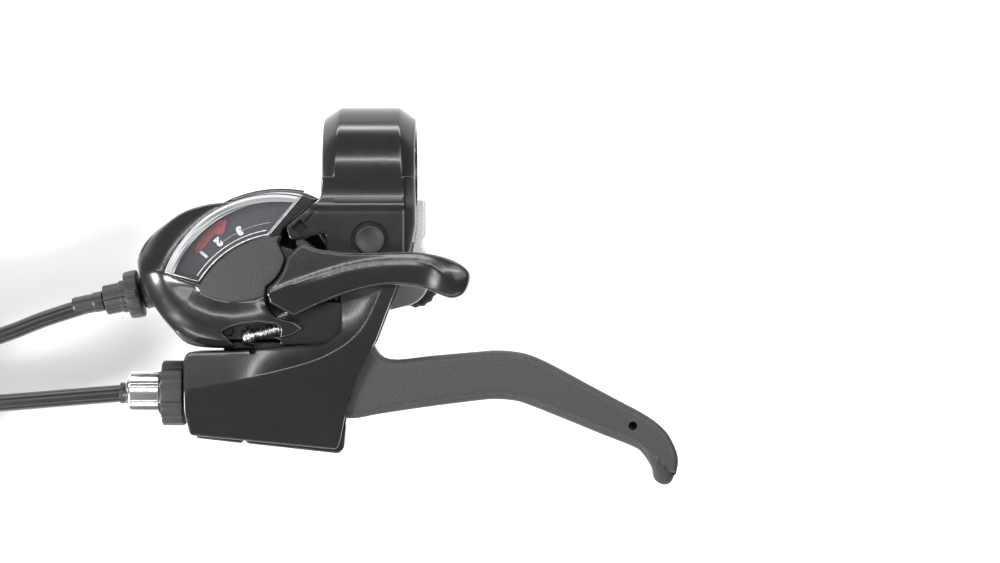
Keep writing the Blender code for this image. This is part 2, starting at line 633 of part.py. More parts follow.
def make_thumb_lever(steel, pad_finish):
    """Lower lever: stamped arm below the case, pad, and the drive plate with its pawl inside the case."""
    pad_place = (12.5, -34.0)
    arm_places = [(-30.5, -46.0), (-24.5, -38.6), (-12.0, -38.8), (2.0, -37.2), (11.0, -31.0)]
    arm_places += [(15.0, -35.0), (8.0, -40.4), (-4.0, -44.0), (-16.0, -47.2), (-24.0, -50.2)]
    arm_outline = smooth(arm_places)
    arm = prism("thumb_lever_arm", arm_outline, -16.6, -13.2, steel)
    sleeve = upright("sleeve", DRUM_AXIS, SLEEVE_RADIUS, -14.0, -5.8)
    arm = join(arm, sleeve)
    cut(arm, upright("bore", DRUM_AXIS, 2.4 + GAP, -30, 10, segments=24))
    pad_profile = [(-26.0, 3.0), (-24.8, 5.4), (-22.0, 6.6), (-19.0, 6.6), (-17.4, 5.6), (-16.95, 4.0)]
    pad = turned("thumb_lever_pad", pad_profile, (*pad_place, 0), (0, 0, 1), pad_finish)

    pin_place = polar(DRUM_AXIS, DRIVE_PAWL_RADIUS, DRIVE_PAWL_ANGLE)
    plate = upright("drive_plate", DRUM_AXIS, 5.6, -6.9, -5.85, steel)
    reach_outline = [polar(DRUM_AXIS, 5.2, 110), polar(pin_place, 2.4, 120), polar(pin_place, 2.4, 190)]
    reach_outline += [polar(pin_place, 2.4, 260), polar(DRUM_AXIS, 5.2, 270)]
    join(plate, prism("reach", reach_outline, -6.9, -5.85))
    cut(plate, upright("hub_bore", DRUM_AXIS, SLEEVE_RADIUS + GAP, -20, 10),
        upright("pin_bore", pin_place, 1.2 + GAP, -20, 10, segments=16))
    pin = upright("drive_pawl_pin", pin_place, 1.2, -6.9, -3.6, steel, segments=16)

    edge = [(14.55, 184), (14.5, 176), (14.6, 171.0), (13.2, 169.4), (13.2, 168.2), (15.0, 167.4)]
    edge.append((17.2, 176))
    pawl_outline = arc(pin_place, 2.4, 150, 385, 10) + [polar(DRUM_AXIS, *place) for place in edge]
    pawl = prism("drive_pawl", pawl_outline, RATCHET_LOW, RATCHET_HIGH, steel)
    cut(pawl, upright("bore", pin_place, 1.2 + GAP, -20, 10, segments=16))
    hub = axis_empty("thumb_lever_axis", *DRUM_AXIS)
    mount_on(hub, arm, pad, plate, pin)
    pawl_hub = axis_empty("drive_pawl_axis", *pin_place)
    mount_on(pawl_hub, pawl)


def coil_spring(name, centre, radius, wire, low, turns, pitch, finish):
    """Round-wire helix that stands on Z."""
    curve = bpy.data.curves.new(name, "CURVE")
    curve.dimensions = "3D"
    curve.bevel_depth = wire / 2 * MM
    curve.bevel_resolution = 1
    curve.use_fill_caps = True
    steps = int(turns * 10)
    spline = curve.splines.new("POLY")
    spline.points.add(steps)
    for i, point in enumerate(spline.points):
        angle = 2 * math.pi * turns * i / steps
        x = centre[0] + radius * math.cos(angle)
        y = centre[1] + radius * math.sin(angle)
        point.co = (x * MM, y * MM, (low + wire / 2 + pitch * turns * i / steps) * MM, 1.0)
    curve.materials.append(finish)
    spring = bpy.data.objects.new(name, curve)
    bpy.context.scene.collection.objects.link(spring)
    return spring


def make_shift_adjuster(finish, ferrule_finish, wire_finish):
    origin = Vector((*SHIFT_STOP, SHIFT_CABLE_HEIGHT))
    axis = (*SHIFT_DIRECTION, 0)
    profile = [(-2.6, 2.5), (3.4, 2.5), (3.4, 6.6), (3.9, 7.0), (6.9, 7.0), (7.4, 6.6), (7.4, 4.6)]
    profile += [(13.6, 4.6), (14.1, 4.2), (14.1, 1.0), (-2.6, 1.0)]
    adjuster = turned("shift_adjuster", profile, origin, axis, finish, bored=True)
    nub = turned("nub", [(3.8, 1.3), (7.0, 1.3)], origin + Vector((0, 0, 7.0)), axis, segments=12)
    join(adjuster, nub)
    hub = axis_empty("shift_adjuster_axis", *SHIFT_STOP, SHIFT_CABLE_HEIGHT)
    mount_on(hub, adjuster)
    profile = [(14.45, 2.75), (22.9, 2.75), (23.4, 2.4), (23.4, 1.0), (14.45, 1.0)]
    turned("shift_ferrule", profile, origin, axis, ferrule_finish, bored=True, segments=24)
    turned("shift_inner_wire", [(-35.3, 0.6), (23.2, 0.6)], origin, axis, wire_finish, segments=10)


def reach_screw(finish):
    """M4 screw with a cross recess that sets how far out the brake lever rests."""
    origin = Vector((*REACH_HEAD, REACH_HEIGHT))
    axis = (*REACH_DIRECTION, 0)
    profile = [(-1.0, 1.6), (-0.6, 2.6), (0.4, 2.85), (1.6, 2.85), (1.6, 2.0), (28.2, 2.0), (28.8, 1.4)]
    screw = turned("reach_screw", profile, origin, axis, finish, segments=24)
    mount_on(axis_empty("reach_screw_axis", *REACH_HEAD, REACH_HEIGHT), screw)


# Bowden housings

SHIFT_ROUTE = [
    (-86.5, -41.2, -1.2),
    (-95.0, -44.0, -1.2),
    (-104.7, -47.8, -1.4),
    (-116.0, -51.4, -2.0),
    (-127.6, -53.2, -2.7),
]
BRAKE_ROUTE = [
    (-72.1, -65.2, 3.0),
    (-84.0, -66.1, 3.0),
    (-104.7, -67.8, 2.6),
    (-116.0, -68.6, 1.9),
    (-125.8, -69.0, 1.3),
]


def open_curve(points, steps):
    """Points read from a smooth curve through hand-placed ones."""
    places = [Vector(p) for p in points]
    places = [2 * places[0] - places[1], *places, 2 * places[-1] - places[-2]]
    curve = []
    for p0, p1, p2, p3 in zip(places, places[1:], places[2:], places[3:]):
        for s in range(steps):
            t = s / steps
            curve.append(0.5 * (2 * p1 + (p2 - p0) * t + (2 * p0 - 5 * p1 + 4 * p2 - p3) * t**2
                                + (3 * p1 - p0 - 3 * p2 + p3) * t**3))
    curve.append(places[-2])
    return curve


def tube(name, points, diameter, finish):
    curve = bpy.data.curves.new(name, "CURVE")
    curve.dimensions = "3D"
    curve.bevel_depth = diameter / 2 * MM
    curve.bevel_resolution = 3
    curve.use_fill_caps = True
    spline = curve.splines.new("POLY")
    spline.points.add(len(points) - 1)
    for place, point in zip(points, spline.points):
        point.co = (*(place * MM), 1.0)
    curve.materials.append(finish)
    made = bpy.data.objects.new(name, curve)
    bpy.context.scene.collection.objects.link(made)
    return made


def bundle(radius, diameter):
    """Inner and outer radius and half width of a coil whose turns lie side by side."""
    room = diameter / 2 + 0.3
    return radius - room, radius + room, COIL_TURNS * (diameter + TURN_GAP) / 2 + room


def coil_centre(top, radius, diameter, side):
    """The first turn starts at the top, and the turns follow each other towards one side in Y."""
    return Vector((top[0], top[1] + side * COIL_TURNS * (diameter + TURN_GAP) / 2, top[2] - radius))


def coil(name, top, radius, diameter, side, finish):
    """Outer shape of a coil with its axis along Y."""
    inner, outer, half = bundle(radius, diameter)
    profile = [(-half, inner), (-half, outer), (half, outer), (half, inner)]
    centre = coil_centre(top, radius, diameter, side)
    return turned(name, profile, centre, (0, 1, 0), finish, bored=True, segments=36)


def tie(name, top, radius, diameter, side, finish):
    """Strap around the lowest part of the coil."""
    inner, outer, half = bundle(radius, diameter)
    centre = coil_centre(top, radius, diameter, side)
    loops = []
    for slack, reach in ((TIE_SLACK + TIE_THICKNESS, TIE_WIDTH / 2), (TIE_SLACK, TIE_WIDTH)):
        wide = half + slack
        outline = [
            (centre.x - reach, centre.y - wide),
            (centre.x + reach, centre.y - wide),
            (centre.x + reach, centre.y + wide),
            (centre.x - reach, centre.y + wide),
        ]
        loops.append(prism(name, outline, centre.z - outer - slack, centre.z - inner + slack, finish))
    return cut(loops[0], loops[1])


def far_ferrule(name, top, radius, diameter, side, finish):
    """Ferrule on the end that leaves the last turn at its top, with a stub of the inner wire."""
    outer = bundle(radius, diameter)[1]
    thick = diameter / 2 + 0.35
    leaves = math.sqrt(outer**2 - (radius - thick - 0.5) ** 2)
    turns_width = COIL_TURNS * (diameter + TURN_GAP)
    start = Vector((top[0] - leaves, top[1] + side * turns_width, top[2]))
    profile = [(0, thick), (8.0, thick), (8.6, diameter / 2), (8.6, 0.6), (13.0, 0.6)]
    return turned(name, profile, start, (-1, 0, 0), finish)


def main():
    clear_scene()
    gloss = material("gloss_black_moulding", (0.012, 0.012, 0.013), 0.22)
    satin = material("satin_black_paint", (0.02, 0.02, 0.021), 0.45)
    matte = material("matte_black_moulding", (0.02, 0.02, 0.021), 0.6)
    steel = material("zinc_plated_steel", (0.55, 0.56, 0.57), 0.35, 1.0)
    black_steel = material("black_steel", (0.03, 0.03, 0.03), 0.4, 0.6)
    nickel = material("polished_alloy", (0.78, 0.78, 0.77), 0.2, 1.0)
    brass = material("brass", (0.7, 0.5, 0.22), 0.35, 1.0)
    acetal = material("natural_acetal", (0.75, 0.74, 0.70), 0.5)
    clear = material("clear_window", (0.85, 0.87, 0.88), 0.06, 0.0, 0.35)
    red = material("red_needle", (0.45, 0.02, 0.02), 0.4)
    housing = material("black_housing", (0.015, 0.015, 0.016), 0.35)

    make_bracket(gloss)
    make_clamp_bolt(steel)
    make_pivot_pin(satin)
    make_brake_lever(satin, brass, steel)
    make_brake_adjuster(nickel, matte, satin, steel)
    make_case(matte, matte, gloss, clear)
    make_case_screws(steel)
    make_axles(steel, steel)
    make_release_lever(gloss, steel, steel)
    make_drum(acetal, red, steel)
    make_pawls(steel)
    make_thumb_lever(steel, matte)
    make_shift_adjuster(matte, matte, steel)
    reach_screw(black_steel)
    coil_spring("drum_spring", DRUM_AXIS, 4.05, 0.7, -1.6, 2.6, 0.9, steel)
    coil_spring("thumb_spring", DRUM_AXIS, 5.3, 0.8, -12.6, 1.5, 0.9, steel)
    coil_spring("pawl_spring", HOLDING_AXIS, 1.7, 0.4, -3.85, 3.0, 0.75, steel)

    tube("shift_housing", open_curve(SHIFT_ROUTE, 3), SHIFT_HOUSING, housing)
    shift = (SHIFT_COIL_TOP, SHIFT_COIL_RADIUS, SHIFT_HOUSING, 1)
    coil("shift_coil", *shift, housing)
    tie("shift_coil_tie", *shift, matte)
    far_ferrule("shift_far_ferrule", *shift, matte)
    tube("brake_housing", open_curve(BRAKE_ROUTE, 3), BRAKE_HOUSING, housing)
    brake = (BRAKE_COIL_TOP, BRAKE_COIL_RADIUS, BRAKE_HOUSING, -1)
    coil("brake_coil", *brake, housing)
    tie("brake_coil_tie", *brake, matte)
    far_ferrule("brake_far_ferrule", *brake, matte)


main()
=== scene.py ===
"""Looks of the bicycle shift and brake lever unit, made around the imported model.

Shapes are in millimetres in the model's own frame, with the bar along X through the origin and +Z up. They
are scaled to metres when they are shown. The floor and the lights are in metres.
"""

import math

import bmesh
import bpy
import numpy as np
from mathutils import Matrix, Vector
from mathutils.geometry import delaunay_2d_cdt


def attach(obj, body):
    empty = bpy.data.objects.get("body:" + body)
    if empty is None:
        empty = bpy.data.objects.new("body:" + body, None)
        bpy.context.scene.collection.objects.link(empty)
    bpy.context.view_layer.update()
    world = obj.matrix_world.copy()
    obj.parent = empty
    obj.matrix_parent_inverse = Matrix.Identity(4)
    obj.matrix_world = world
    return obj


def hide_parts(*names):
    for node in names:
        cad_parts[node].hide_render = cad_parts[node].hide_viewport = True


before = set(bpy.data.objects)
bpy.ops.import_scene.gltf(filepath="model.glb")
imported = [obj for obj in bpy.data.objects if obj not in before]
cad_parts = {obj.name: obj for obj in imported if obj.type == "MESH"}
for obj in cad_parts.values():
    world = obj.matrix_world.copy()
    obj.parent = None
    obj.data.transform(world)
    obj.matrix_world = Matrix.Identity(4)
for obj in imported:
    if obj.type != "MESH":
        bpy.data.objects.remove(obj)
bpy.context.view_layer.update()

MM = 0.001


# Places shared with the model

BRAKE_PIVOT = (0.6, -21.1)
DRUM_AXIS = (-24.5, -44.4)
RELEASE_AXIS = (-34.2, -24.8)
CLAMP_BOLT = (9.0, -15.3)
UNIT_SCREW = (-40.0, -34.0)
CASE_SCREWS = ((-57.5, -40.8), (-47.8, -46.6))
BRAKE_STOP = (0.0, -65.0, 3.0)
SHIFT_STOP = (-63.0, -35.5, -1.2)
SHIFT_DIRECTION = Vector((-0.979, -0.205, 0.0)).normalized()
REACH_HEAD = (-34.5, -48.8, 5.5)
REACH_DIRECTION = Vector((0.968, 0.252, 0.0)).normalized()

SHIFT_HOUSING = 4.7
BRAKE_HOUSING = 5.0
SHIFT_COIL_TOP = (-143.0, -53.5, -3.0)
BRAKE_COIL_TOP = (-143.0, -69.0, 1.0)
SHIFT_COIL_RADIUS = 24.0
BRAKE_COIL_RADIUS = 26.1
COIL_TURNS = 3
TURN_GAP = 0.2
SHIFT_ROUTE = [
    (-78.7, -38.8, -1.2),
    (-86.5, -41.2, -1.2),
    (-95.0, -44.0, -1.2),
    (-104.7, -47.8, -1.4),
    (-116.0, -51.4, -2.0),
    (-127.6, -53.2, -2.7),
]
BRAKE_ROUTE = [
    (-70.6, -65.05, 3.0),
    (-84.0, -66.1, 3.0),
    (-104.7, -67.8, 2.6),
    (-116.0, -68.6, 1.9),
    (-125.8, -69.0, 1.3),
]


# Camera, floor and lights

VIEW_CENTRE = (37.6, -32.9)
VIEW_WIDTH = 284.6
VIEW_DISTANCE = 750.0
VIEW_PLANE = 12.0
LIT_PLACE = (0.0, -0.03, 0.0)
FLOOR_SIZE = 6.0
FLOOR_LEVEL = -0.075


def make_camera():
    data = bpy.data.cameras.new("camera")
    data.sensor_width = 36.0
    data.lens = data.sensor_width * VIEW_DISTANCE / VIEW_WIDTH
    data.clip_start = 0.05
    data.clip_end = 20.0
    camera = bpy.data.objects.new("camera", data)
    camera.location = Vector((*VIEW_CENTRE, VIEW_PLANE + VIEW_DISTANCE)) * MM
    bpy.context.scene.collection.objects.link(camera)
    bpy.context.scene.camera = camera


def area_light(name, place, size, power):
    data = bpy.data.lights.new(name, "AREA")
    data.shape = "RECTANGLE"
    data.size, data.size_y = size
    data.energy = power
    lamp = bpy.data.objects.new(name, data)
    lamp.location = place
    lamp.rotation_euler = (Vector(LIT_PLACE) - Vector(place)).to_track_quat("-Z", "Y").to_euler()
    bpy.context.scene.collection.objects.link(lamp)


def make_studio():
    world = bpy.data.worlds.new("studio")
    world.use_nodes = True
    set_inputs(world.node_tree.nodes["Background"], {"Color": (0.95, 0.97, 1.0, 1.0), "Strength": 0.16})
    bpy.context.scene.world = world
    bpy.context.scene.view_settings.view_transform = "Standard"
    area_light("top", (0.0, 0.15, 0.62), (1.0, 0.035), 2.3)
    area_light("rear", (0.0, 0.75, 0.14), (1.2, 0.10), 6.0)
    area_light("front", (0.0, -0.72, 0.42), (1.2, 0.08), 3.2)
    area_light("key", (-0.55, -0.28, 0.45), (0.2, 0.2), 8.5)
    area_light("fill", (0.6, 0.25, 0.9), (0.8, 0.8), 5.0)


def make_floor():
    bpy.ops.mesh.primitive_grid_add(x_subdivisions=8, y_subdivisions=8, size=FLOOR_SIZE,
                                    location=(0, 0, FLOOR_LEVEL))
    floor = bpy.context.object
    floor.name = "floor"
    floor.data.materials.append(finish("floor_paper", (0.93, 0.93, 0.93), 0.9, mottle=0.0))


# Materials

SHEEN_SCALE = 250.0
SHEEN_SPREAD = 0.06


def set_inputs(node, values):
    """Sets a node's inputs. An input's name may have _ for each space."""
    for name, value in values.items():
        node.inputs[name.replace("_", " ")].default_value = value
    return node


def new_material(name, **values):
    """A material and its Principled shader."""
    made = bpy.data.materials.new(name)
    made.use_nodes = True
    return made, set_inputs(made.node_tree.nodes["Principled BSDF"], values)


def add_node(material, kind, **values):
    return set_inputs(material.node_tree.nodes.new("ShaderNode" + kind), values)


def join(material, *links):
    """Makes links that are given as (from node, output, to node, input)."""
    for source, output, target, name in links:
        material.node_tree.links.new(source.outputs[output], target.inputs[name])


def finish(name, colour, roughness, metallic=0.0, grain=0.0, grain_size=0.3, mottle=0.25, streak=(1, 1, 1),
           coat=0.0):
    """Principled material with mottled colour and roughness, and a fine bump in the surface.

    grain is the bump's strength and grain_size its size in millimetres.
    """
    made, shader = new_material(name, Metallic=metallic, Coat_Weight=coat, Coat_Roughness=0.12)
    place = add_node(made, "TexCoord")
    mapping = add_node(made, "Mapping", Scale=streak)
    blotch = add_node(made, "TexNoise", Scale=SHEEN_SCALE, Detail=5.0)
    sheen = add_node(made, "MapRange", To_Min=roughness - SHEEN_SPREAD, To_Max=roughness + SHEEN_SPREAD)
    fine = add_node(made, "TexNoise", Scale=1000.0 / grain_size, Detail=2.0)
    tones = add_node(made, "ValToRGB")
    dark, light = tones.color_ramp.elements
    dark.position, light.position = 0.35, 0.7
    dark.color = (*[c * (1 - mottle) for c in colour], 1)
    light.color = (*[min(1.0, c * (1 + mottle)) for c in colour], 1)
    join(made, (place, "Object", mapping, "Vector"),
         (mapping, "Vector", blotch, "Vector"), (blotch, "Fac", sheen, "Value"),
         (sheen, "Result", shader, "Roughness"),
         (mapping, "Vector", fine, "Vector"), (fine, "Fac", tones, "Fac"),
         (tones, "Color", shader, "Base Color"))
    if grain:
        bump = add_node(made, "Bump", Strength=grain, Distance=grain_size * MM * 0.25)
        join(made, (fine, "Fac", bump, "Height"), (bump, "Normal", shader, "Normal"))
    return made


# Outlines in X and Y

def arc(centre, radius, first, last, steps):
    """Points of an arc between two angles in degrees."""
    angles = [math.radians(first + (last - first) * i / steps) for i in range(steps + 1)]
    return [(centre[0] + radius * math.cos(a), centre[1] + radius * math.sin(a)) for a in angles]


def circle(centre, radius):
    """Points round a whole circle, each once."""
    return arc(centre, radius, 0, 350, 35)


def polar(centre, radius, degrees):
    return arc(centre, radius, degrees, degrees, 1)[0]


def catmull(places, steps):
    """Points of a smooth curve from the second place up to the last but one, which it leaves out."""
    curve = []
    for p0, p1, p2, p3 in zip(places, places[1:], places[2:], places[3:]):
        for t in [s / steps for s in range(steps)]:
            curve.append(0.5 * (2 * p1 + (p2 - p0) * t + (2 * p0 - 5 * p1 + 4 * p2 - p3) * t**2
                                + (3 * p1 - p0 - 3 * p2 + p3) * t**3))
    return curve


def open_curve(points, steps):
    """Points of a smooth open curve through given ones."""
    places = [Vector(p) for p in points]
    before, after = 2 * places[0] - places[1], 2 * places[-1] - places[-2]
    return [*catmull([before, *places, after], steps), places[-1]]


def smooth(points, steps):
    return [tuple(p) for p in open_curve(points, steps)]


def closed_curve(points, steps):
    places = [Vector(p) for p in points]
    return [tuple(p) for p in catmull([places[-1], *places, *places[:2]], steps)]


def spaced(points, step):
    """A smooth open line through given points, read at even distances."""
    line = np.array(smooth(points, 8))
    run = np.concatenate([[0.0], np.cumsum(np.linalg.norm(np.diff(line, axis=0), axis=1))])
    at = np.linspace(0.0, run[-1], math.ceil(run[-1] / step) + 1)
    return np.stack([np.interp(at, run, line[:, k]) for k in (0, 1)], 1)


def fold_lines(line, apart):
    """The line with one beside it on either hand, so that a mesh can round the fold evenly."""
    along = np.gradient(line, axis=0)
    normal = np.stack([-along[:, 1], along[:, 0]], 1) / np.linalg.norm(along, axis=1)[:, None]
    return [line, line + normal * apart, line - normal * apart]


def rounded_corner(before, here, after, radius, steps):
    """Points of a curve in place of a corner, as large as the corner's sides leave room for."""
    here = Vector(here)
    back, ahead = Vector(before) - here, Vector(after) - here
    reach = min(radius, 0.45 * back.length, 0.45 * ahead.length)
    start, end = here + back.normalized() * reach, here + ahead.normalized() * reach
    shares = [s / steps for s in range(steps + 1)]
    return [tuple(start * (1 - t) ** 2 + here * 2 * t * (1 - t) + end * t**2) for t in shares]


def filleted(points, radius, steps):
    """The closed outline with its corners rounded."""
    rounded = []
    for corner in zip([points[-1], *points], points, [*points[1:], points[0]]):
        rounded += rounded_corner(*corner, radius, steps)
    return rounded


def soft_profile(points, radius, steps=3):
    """An open profile with its inner corners rounded."""
    rounded = [points[0]]
    for corner in zip(points, points[1:], points[2:]):
        rounded += rounded_corner(*corner, radius, steps)
    return [*rounded, points[-1]]


def inward(loop):
    """Unit normals of a closed loop that point into it."""
    before, after = loop - np.roll(loop, 1, axis=0), np.roll(loop, -1, axis=0) - loop
    along = before / np.linalg.norm(before, axis=1)[:, None] + after / np.linalg.norm(after, axis=1)[:, None]
    area = (loop[:, 0] * np.roll(loop[:, 1], -1) - loop[:, 1] * np.roll(loop[:, 0], -1)).sum()
    normal = np.stack([-along[:, 1], along[:, 0]], 1) * (1 if area > 0 else -1)
    return normal / np.maximum(np.linalg.norm(normal, axis=1), 1e-9)[:, None]


def inset(outline, distance):
    """The outline moved inwards."""
    loop = np.array(outline)
    return [tuple(p) for p in loop + inward(loop) * distance]


def dense(loop, step):
    """A closed loop with no side longer than step, and no two points closer than a tenth of it."""
    points = []
    for (ax, ay), (bx, by) in zip(loop, [*loop[1:], loop[0]]):
        parts = max(1, math.ceil(math.hypot(bx - ax, by - ay) / step))
        points += [(ax + (bx - ax) * i / parts, ay + (by - ay) * i / parts) for i in range(parts)]
    kept = [points[0]]
    for point in points[1:]:
        if math.dist(point, kept[-1]) > step * 0.1 and math.dist(point, kept[0]) > step * 0.1:
            kept.append(point)
    return np.array(kept)


def from_line(points, line, closed):
    """Each of a line's sides, and how far each point lies from the nearest place on each side."""
    start = np.asarray(line, float)
    end = np.roll(start, -1, axis=0)
    if not closed:
        start, end = start[:-1], end[:-1]
    side = end - start
    share = ((points[:, None] - start) * side).sum(-1) / np.maximum((side**2).sum(-1), 1e-12)
    return side, points[:, None] - (start + np.clip(share, 0, 1)[..., None] * side)


def away(points, line, closed=True):
    """Distance of each point from a line."""
    return np.sqrt((from_line(points, line, closed)[1] ** 2).sum(-1)).min(1)


def side_of(points, line):
    """Signed distance from an open line, positive on its left."""
    side, apart = from_line(points, line, False)
    distance = np.sqrt((apart**2).sum(-1))
    nearest = distance.argmin(1)
    rows = np.arange(len(points))
    cross = side[nearest, 0] * apart[rows, nearest, 1] - side[nearest, 1] * apart[rows, nearest, 0]
    return np.where(cross > 0, 1, -1) * distance[rows, nearest]


def within(points, loop):
    """Whether each point lies inside a closed loop."""
    start = np.asarray(loop, float)
    end = np.roll(start, -1, axis=0)
    x, y = points[:, 0, None], points[:, 1, None]
    spans = (start[:, 1] > y) != (end[:, 1] > y)
    rise = end[:, 1] - start[:, 1]
    rise = np.where(np.abs(rise) < 1e-12, 1e-12, rise)
    crosses = x < (end[:, 0] - start[:, 0]) * (y - start[:, 1]) / rise + start[:, 0]
    return (spans & crosses).sum(1) % 2 == 1


def depth_in(points, loop):
    """Distance from a closed loop, positive inside it."""
    return np.where(within(points, loop), 1, -1) * away(points, loop)


def ramp(x, low, high):
    """0 below low, 1 above high, and smooth between."""
    t = np.clip((x - low) / (high - low), 0, 1)
    return t * t * (3 - 2 * t)


def rounding(depth, radius):
    """How far a rounded edge lies below the surface at a distance in from the edge."""
    outward = np.clip(radius - depth, 0, radius)
    return radius - np.sqrt(np.maximum(radius**2 - outward**2, 0))


# Meshes, in millimetres

LIP = 0.25


def height_at(surface, points):
    """Heights of a surface that is given as a function or as one level."""
    return surface(points) if callable(surface) else np.full(len(points), float(surface))


def slab(loop, top, low, edge=0.6, low_edge=0.0, step=0.8, holes=(), extra=()):
    """A solid between an upper and a lower surface, with rounded edges.

    edge and low_edge are the radii of its upper and lower edges, and step the size of its mesh.
    extra holds lines that the mesh's edges follow, such as a crease.
    """
    rim = dense(loop, step)
    bores = [dense(hole, min(step, 0.5)) for hole in holes]
    rings = []
    reach = max(edge, low_edge)
    normal = inward(rim)
    for share in (0.06, 0.2, 0.42, 0.7, 1.0):
        ring = rim + normal * reach * share
        ring = ring[depth_in(ring, rim) > reach * share * 0.96]
        rings.append(ring)
    for bore in bores:
        spokes = bore - bore.mean(0)
        radius = np.linalg.norm(spokes, axis=1).mean()
        rings += [bore.mean(0) + spokes * (1 + LIP * share / radius) for share in (0.3, 1.0)]

    low_corner, high_corner = rim.min(0), rim.max(0)
    rows = np.arange(low_corner[1], high_corner[1], step * 0.87)
    grid = []
    for number, y in enumerate(rows):
        xs = np.arange(low_corner[0] + (number % 2) * step / 2, high_corner[0], step)
        grid.append(np.stack([xs, np.full_like(xs, y)], 1))
    grid = np.concatenate(grid)
    grid = grid[depth_in(grid, rim) > reach + step * 0.5]
    strokes = []
    for line in extra:
        grid = grid[away(grid, line, closed=False) > step * 0.45]
        rings = [ring[away(ring, line, closed=False) > 0.15] for ring in rings]
        stroke = line[depth_in(line, rim) > reach * 0.1]
        for bore in bores:
            stroke = stroke[depth_in(stroke, bore) < -0.05]
        strokes.append(stroke)
    for bore in bores:
        grid = grid[depth_in(grid, bore) < -(LIP + step * 0.3)]
    free = np.concatenate([*rings, grid])
    for bore in bores:
        free = free[depth_in(free, bore) < -0.02]

    loops = [rim, *bores]
    points = np.concatenate([*loops, *strokes, free])
    edges = []
    base = 0
    for one in loops:
        count = len(one)
        edges += [(base + i, base + (i + 1) % count) for i in range(count)]
        base += count
    for stroke in strokes:
        for i in range(len(stroke) - 1):
            if math.dist(stroke[i], stroke[i + 1]) < step * 1.5:
                edges.append((base + i, base + i + 1))
        base += len(stroke)
    cdt = delaunay_2d_cdt([Vector(p) for p in points], edges, [], 1, 1e-5)
    flat = np.array([tuple(v) for v in cdt[0]])
    faces = [f for f in cdt[2] if len(f) == 3]
    middle = flat[np.array(faces)].mean(1)
    kept = within(middle, rim)
    for bore in bores:
        kept &= ~within(middle, bore)
    faces = [f for f, keep in zip(faces, kept) if keep]

    depth = np.maximum(depth_in(flat, rim), 0)
    high = height_at(top, flat) - rounding(depth, edge)
    for bore in bores:
        high -= rounding(away(flat, bore), LIP)
    under = height_at(low, flat)
    if low_edge:
        under = under + rounding(depth, low_edge)
    bm = bmesh.new()
    upper = [bm.verts.new((x, y, z)) for (x, y), z in zip(flat, high)]
    lower = [bm.verts.new((x, y, z)) for (x, y), z in zip(flat, under)]
    borders = {}
    for a, b, c in faces:
        ax, ay = flat[a]
        bx, by = flat[b]
        cx, cy = flat[c]
        if (bx - ax) * (cy - ay) - (by - ay) * (cx - ax) < 0:
            b, c = c, b
        bm.faces.new((upper[a], upper[b], upper[c]))
        bm.faces.new((lower[c], lower[b], lower[a]))
        borders |= dict.fromkeys(((a, b), (b, c), (c, a)))
    for i, j in borders:
        if (j, i) not in borders:
            bm.faces.new((upper[j], upper[i], lower[i], lower[j]))
    bmesh.ops.delete(bm, geom=[v for v in bm.verts if not v.link_faces], context="VERTS")
    return bm


def bridge_rows(bm, rows):
    """Joins each closed row of vertices to the next and turns the faces outwards."""
    for first, second in zip(rows, rows[1:]):
        count = len(first)
        for i in range(count):
            j = (i + 1) % count
            bm.faces.new((first[i], first[j], second[j], second[i]))
    bmesh.ops.recalc_face_normals(bm, faces=bm.faces)


def lathe(profile, origin=(0, 0, 0), axis=(0, 0, 1), segments=64, bored=False, shape=None):
    """Turns a profile of (distance along the axis, radius).

    shape(angle, along, radius) may alter the radius.
    """
    direction = Vector(axis).normalized()
    side = Vector((0, 0, 1)) if abs(direction.z) < 0.9 else Vector((1, 0, 0))
    side = (side - direction * side.dot(direction)).normalized()
    other = direction.cross(side)
    bm = bmesh.new()
    rings = []
    for along, radius in profile:
        ring = []
        for i in range(segments):
            angle = 2 * math.pi * i / segments
            r = shape(angle, along, radius) if shape else radius
            ring.append(bm.verts.new(Vector(origin) + direction * along
                                     + (side * math.cos(angle) + other * math.sin(angle)) * r))
        rings.append(ring)
    if bored:
        rings.append(rings[0])
    else:
        bm.faces.new(rings[0])
        bm.faces.new(rings[-1])
    bridge_rows(bm, rings)
    return bm


def rod(radius, first, last, origin=(0, 0, 0), axis=(0, 0, 1), segments=64):
    """A plain cylinder, for cutting."""
    return lathe([(first, radius), (last, radius)], origin, axis, segments)


def block(outline, low, high):
    """A plain extrusion, for cutting."""
    bm = bmesh.new()
    face = bm.faces.new([bm.verts.new((x, y, low)) for x, y in outline])
    top = bmesh.ops.extrude_face_region(bm, geom=[face])
    moved = [v for v in top["geom"] if isinstance(v, bmesh.types.BMVert)]
    bmesh.ops.translate(bm, verts=moved, vec=(0, 0, high - low))
    bmesh.ops.recalc_face_normals(bm, faces=bm.faces)
    return bm


def scratch(bm, name):
    mesh = bpy.data.meshes.new(name)
    bm.to_mesh(mesh)
    bm.free()
    obj = bpy.data.objects.new(name, mesh)
    bpy.context.scene.collection.objects.link(obj)
    return obj


def carve(bm, cutters=(), additions=()):
    """The mesh with the additions united and the cutters taken away."""
    body = scratch(bm, "carved")
    tools = []
    for operation, group in (("UNION", additions), ("DIFFERENCE", cutters)):
        for tool in group:
            tool = scratch(tool, "tool")
            step = body.modifiers.new("step", "BOOLEAN")
            step.operation = operation
            step.solver = "EXACT"
            step.object = tool
            tools.append(tool)
    bpy.context.view_layer.update()
    shape = body.evaluated_get(bpy.context.evaluated_depsgraph_get())
    result = bmesh.new()
    result.from_mesh(shape.data)
    for obj in (body, *tools):
        bpy.data.objects.remove(obj, do_unlink=True)
    return result


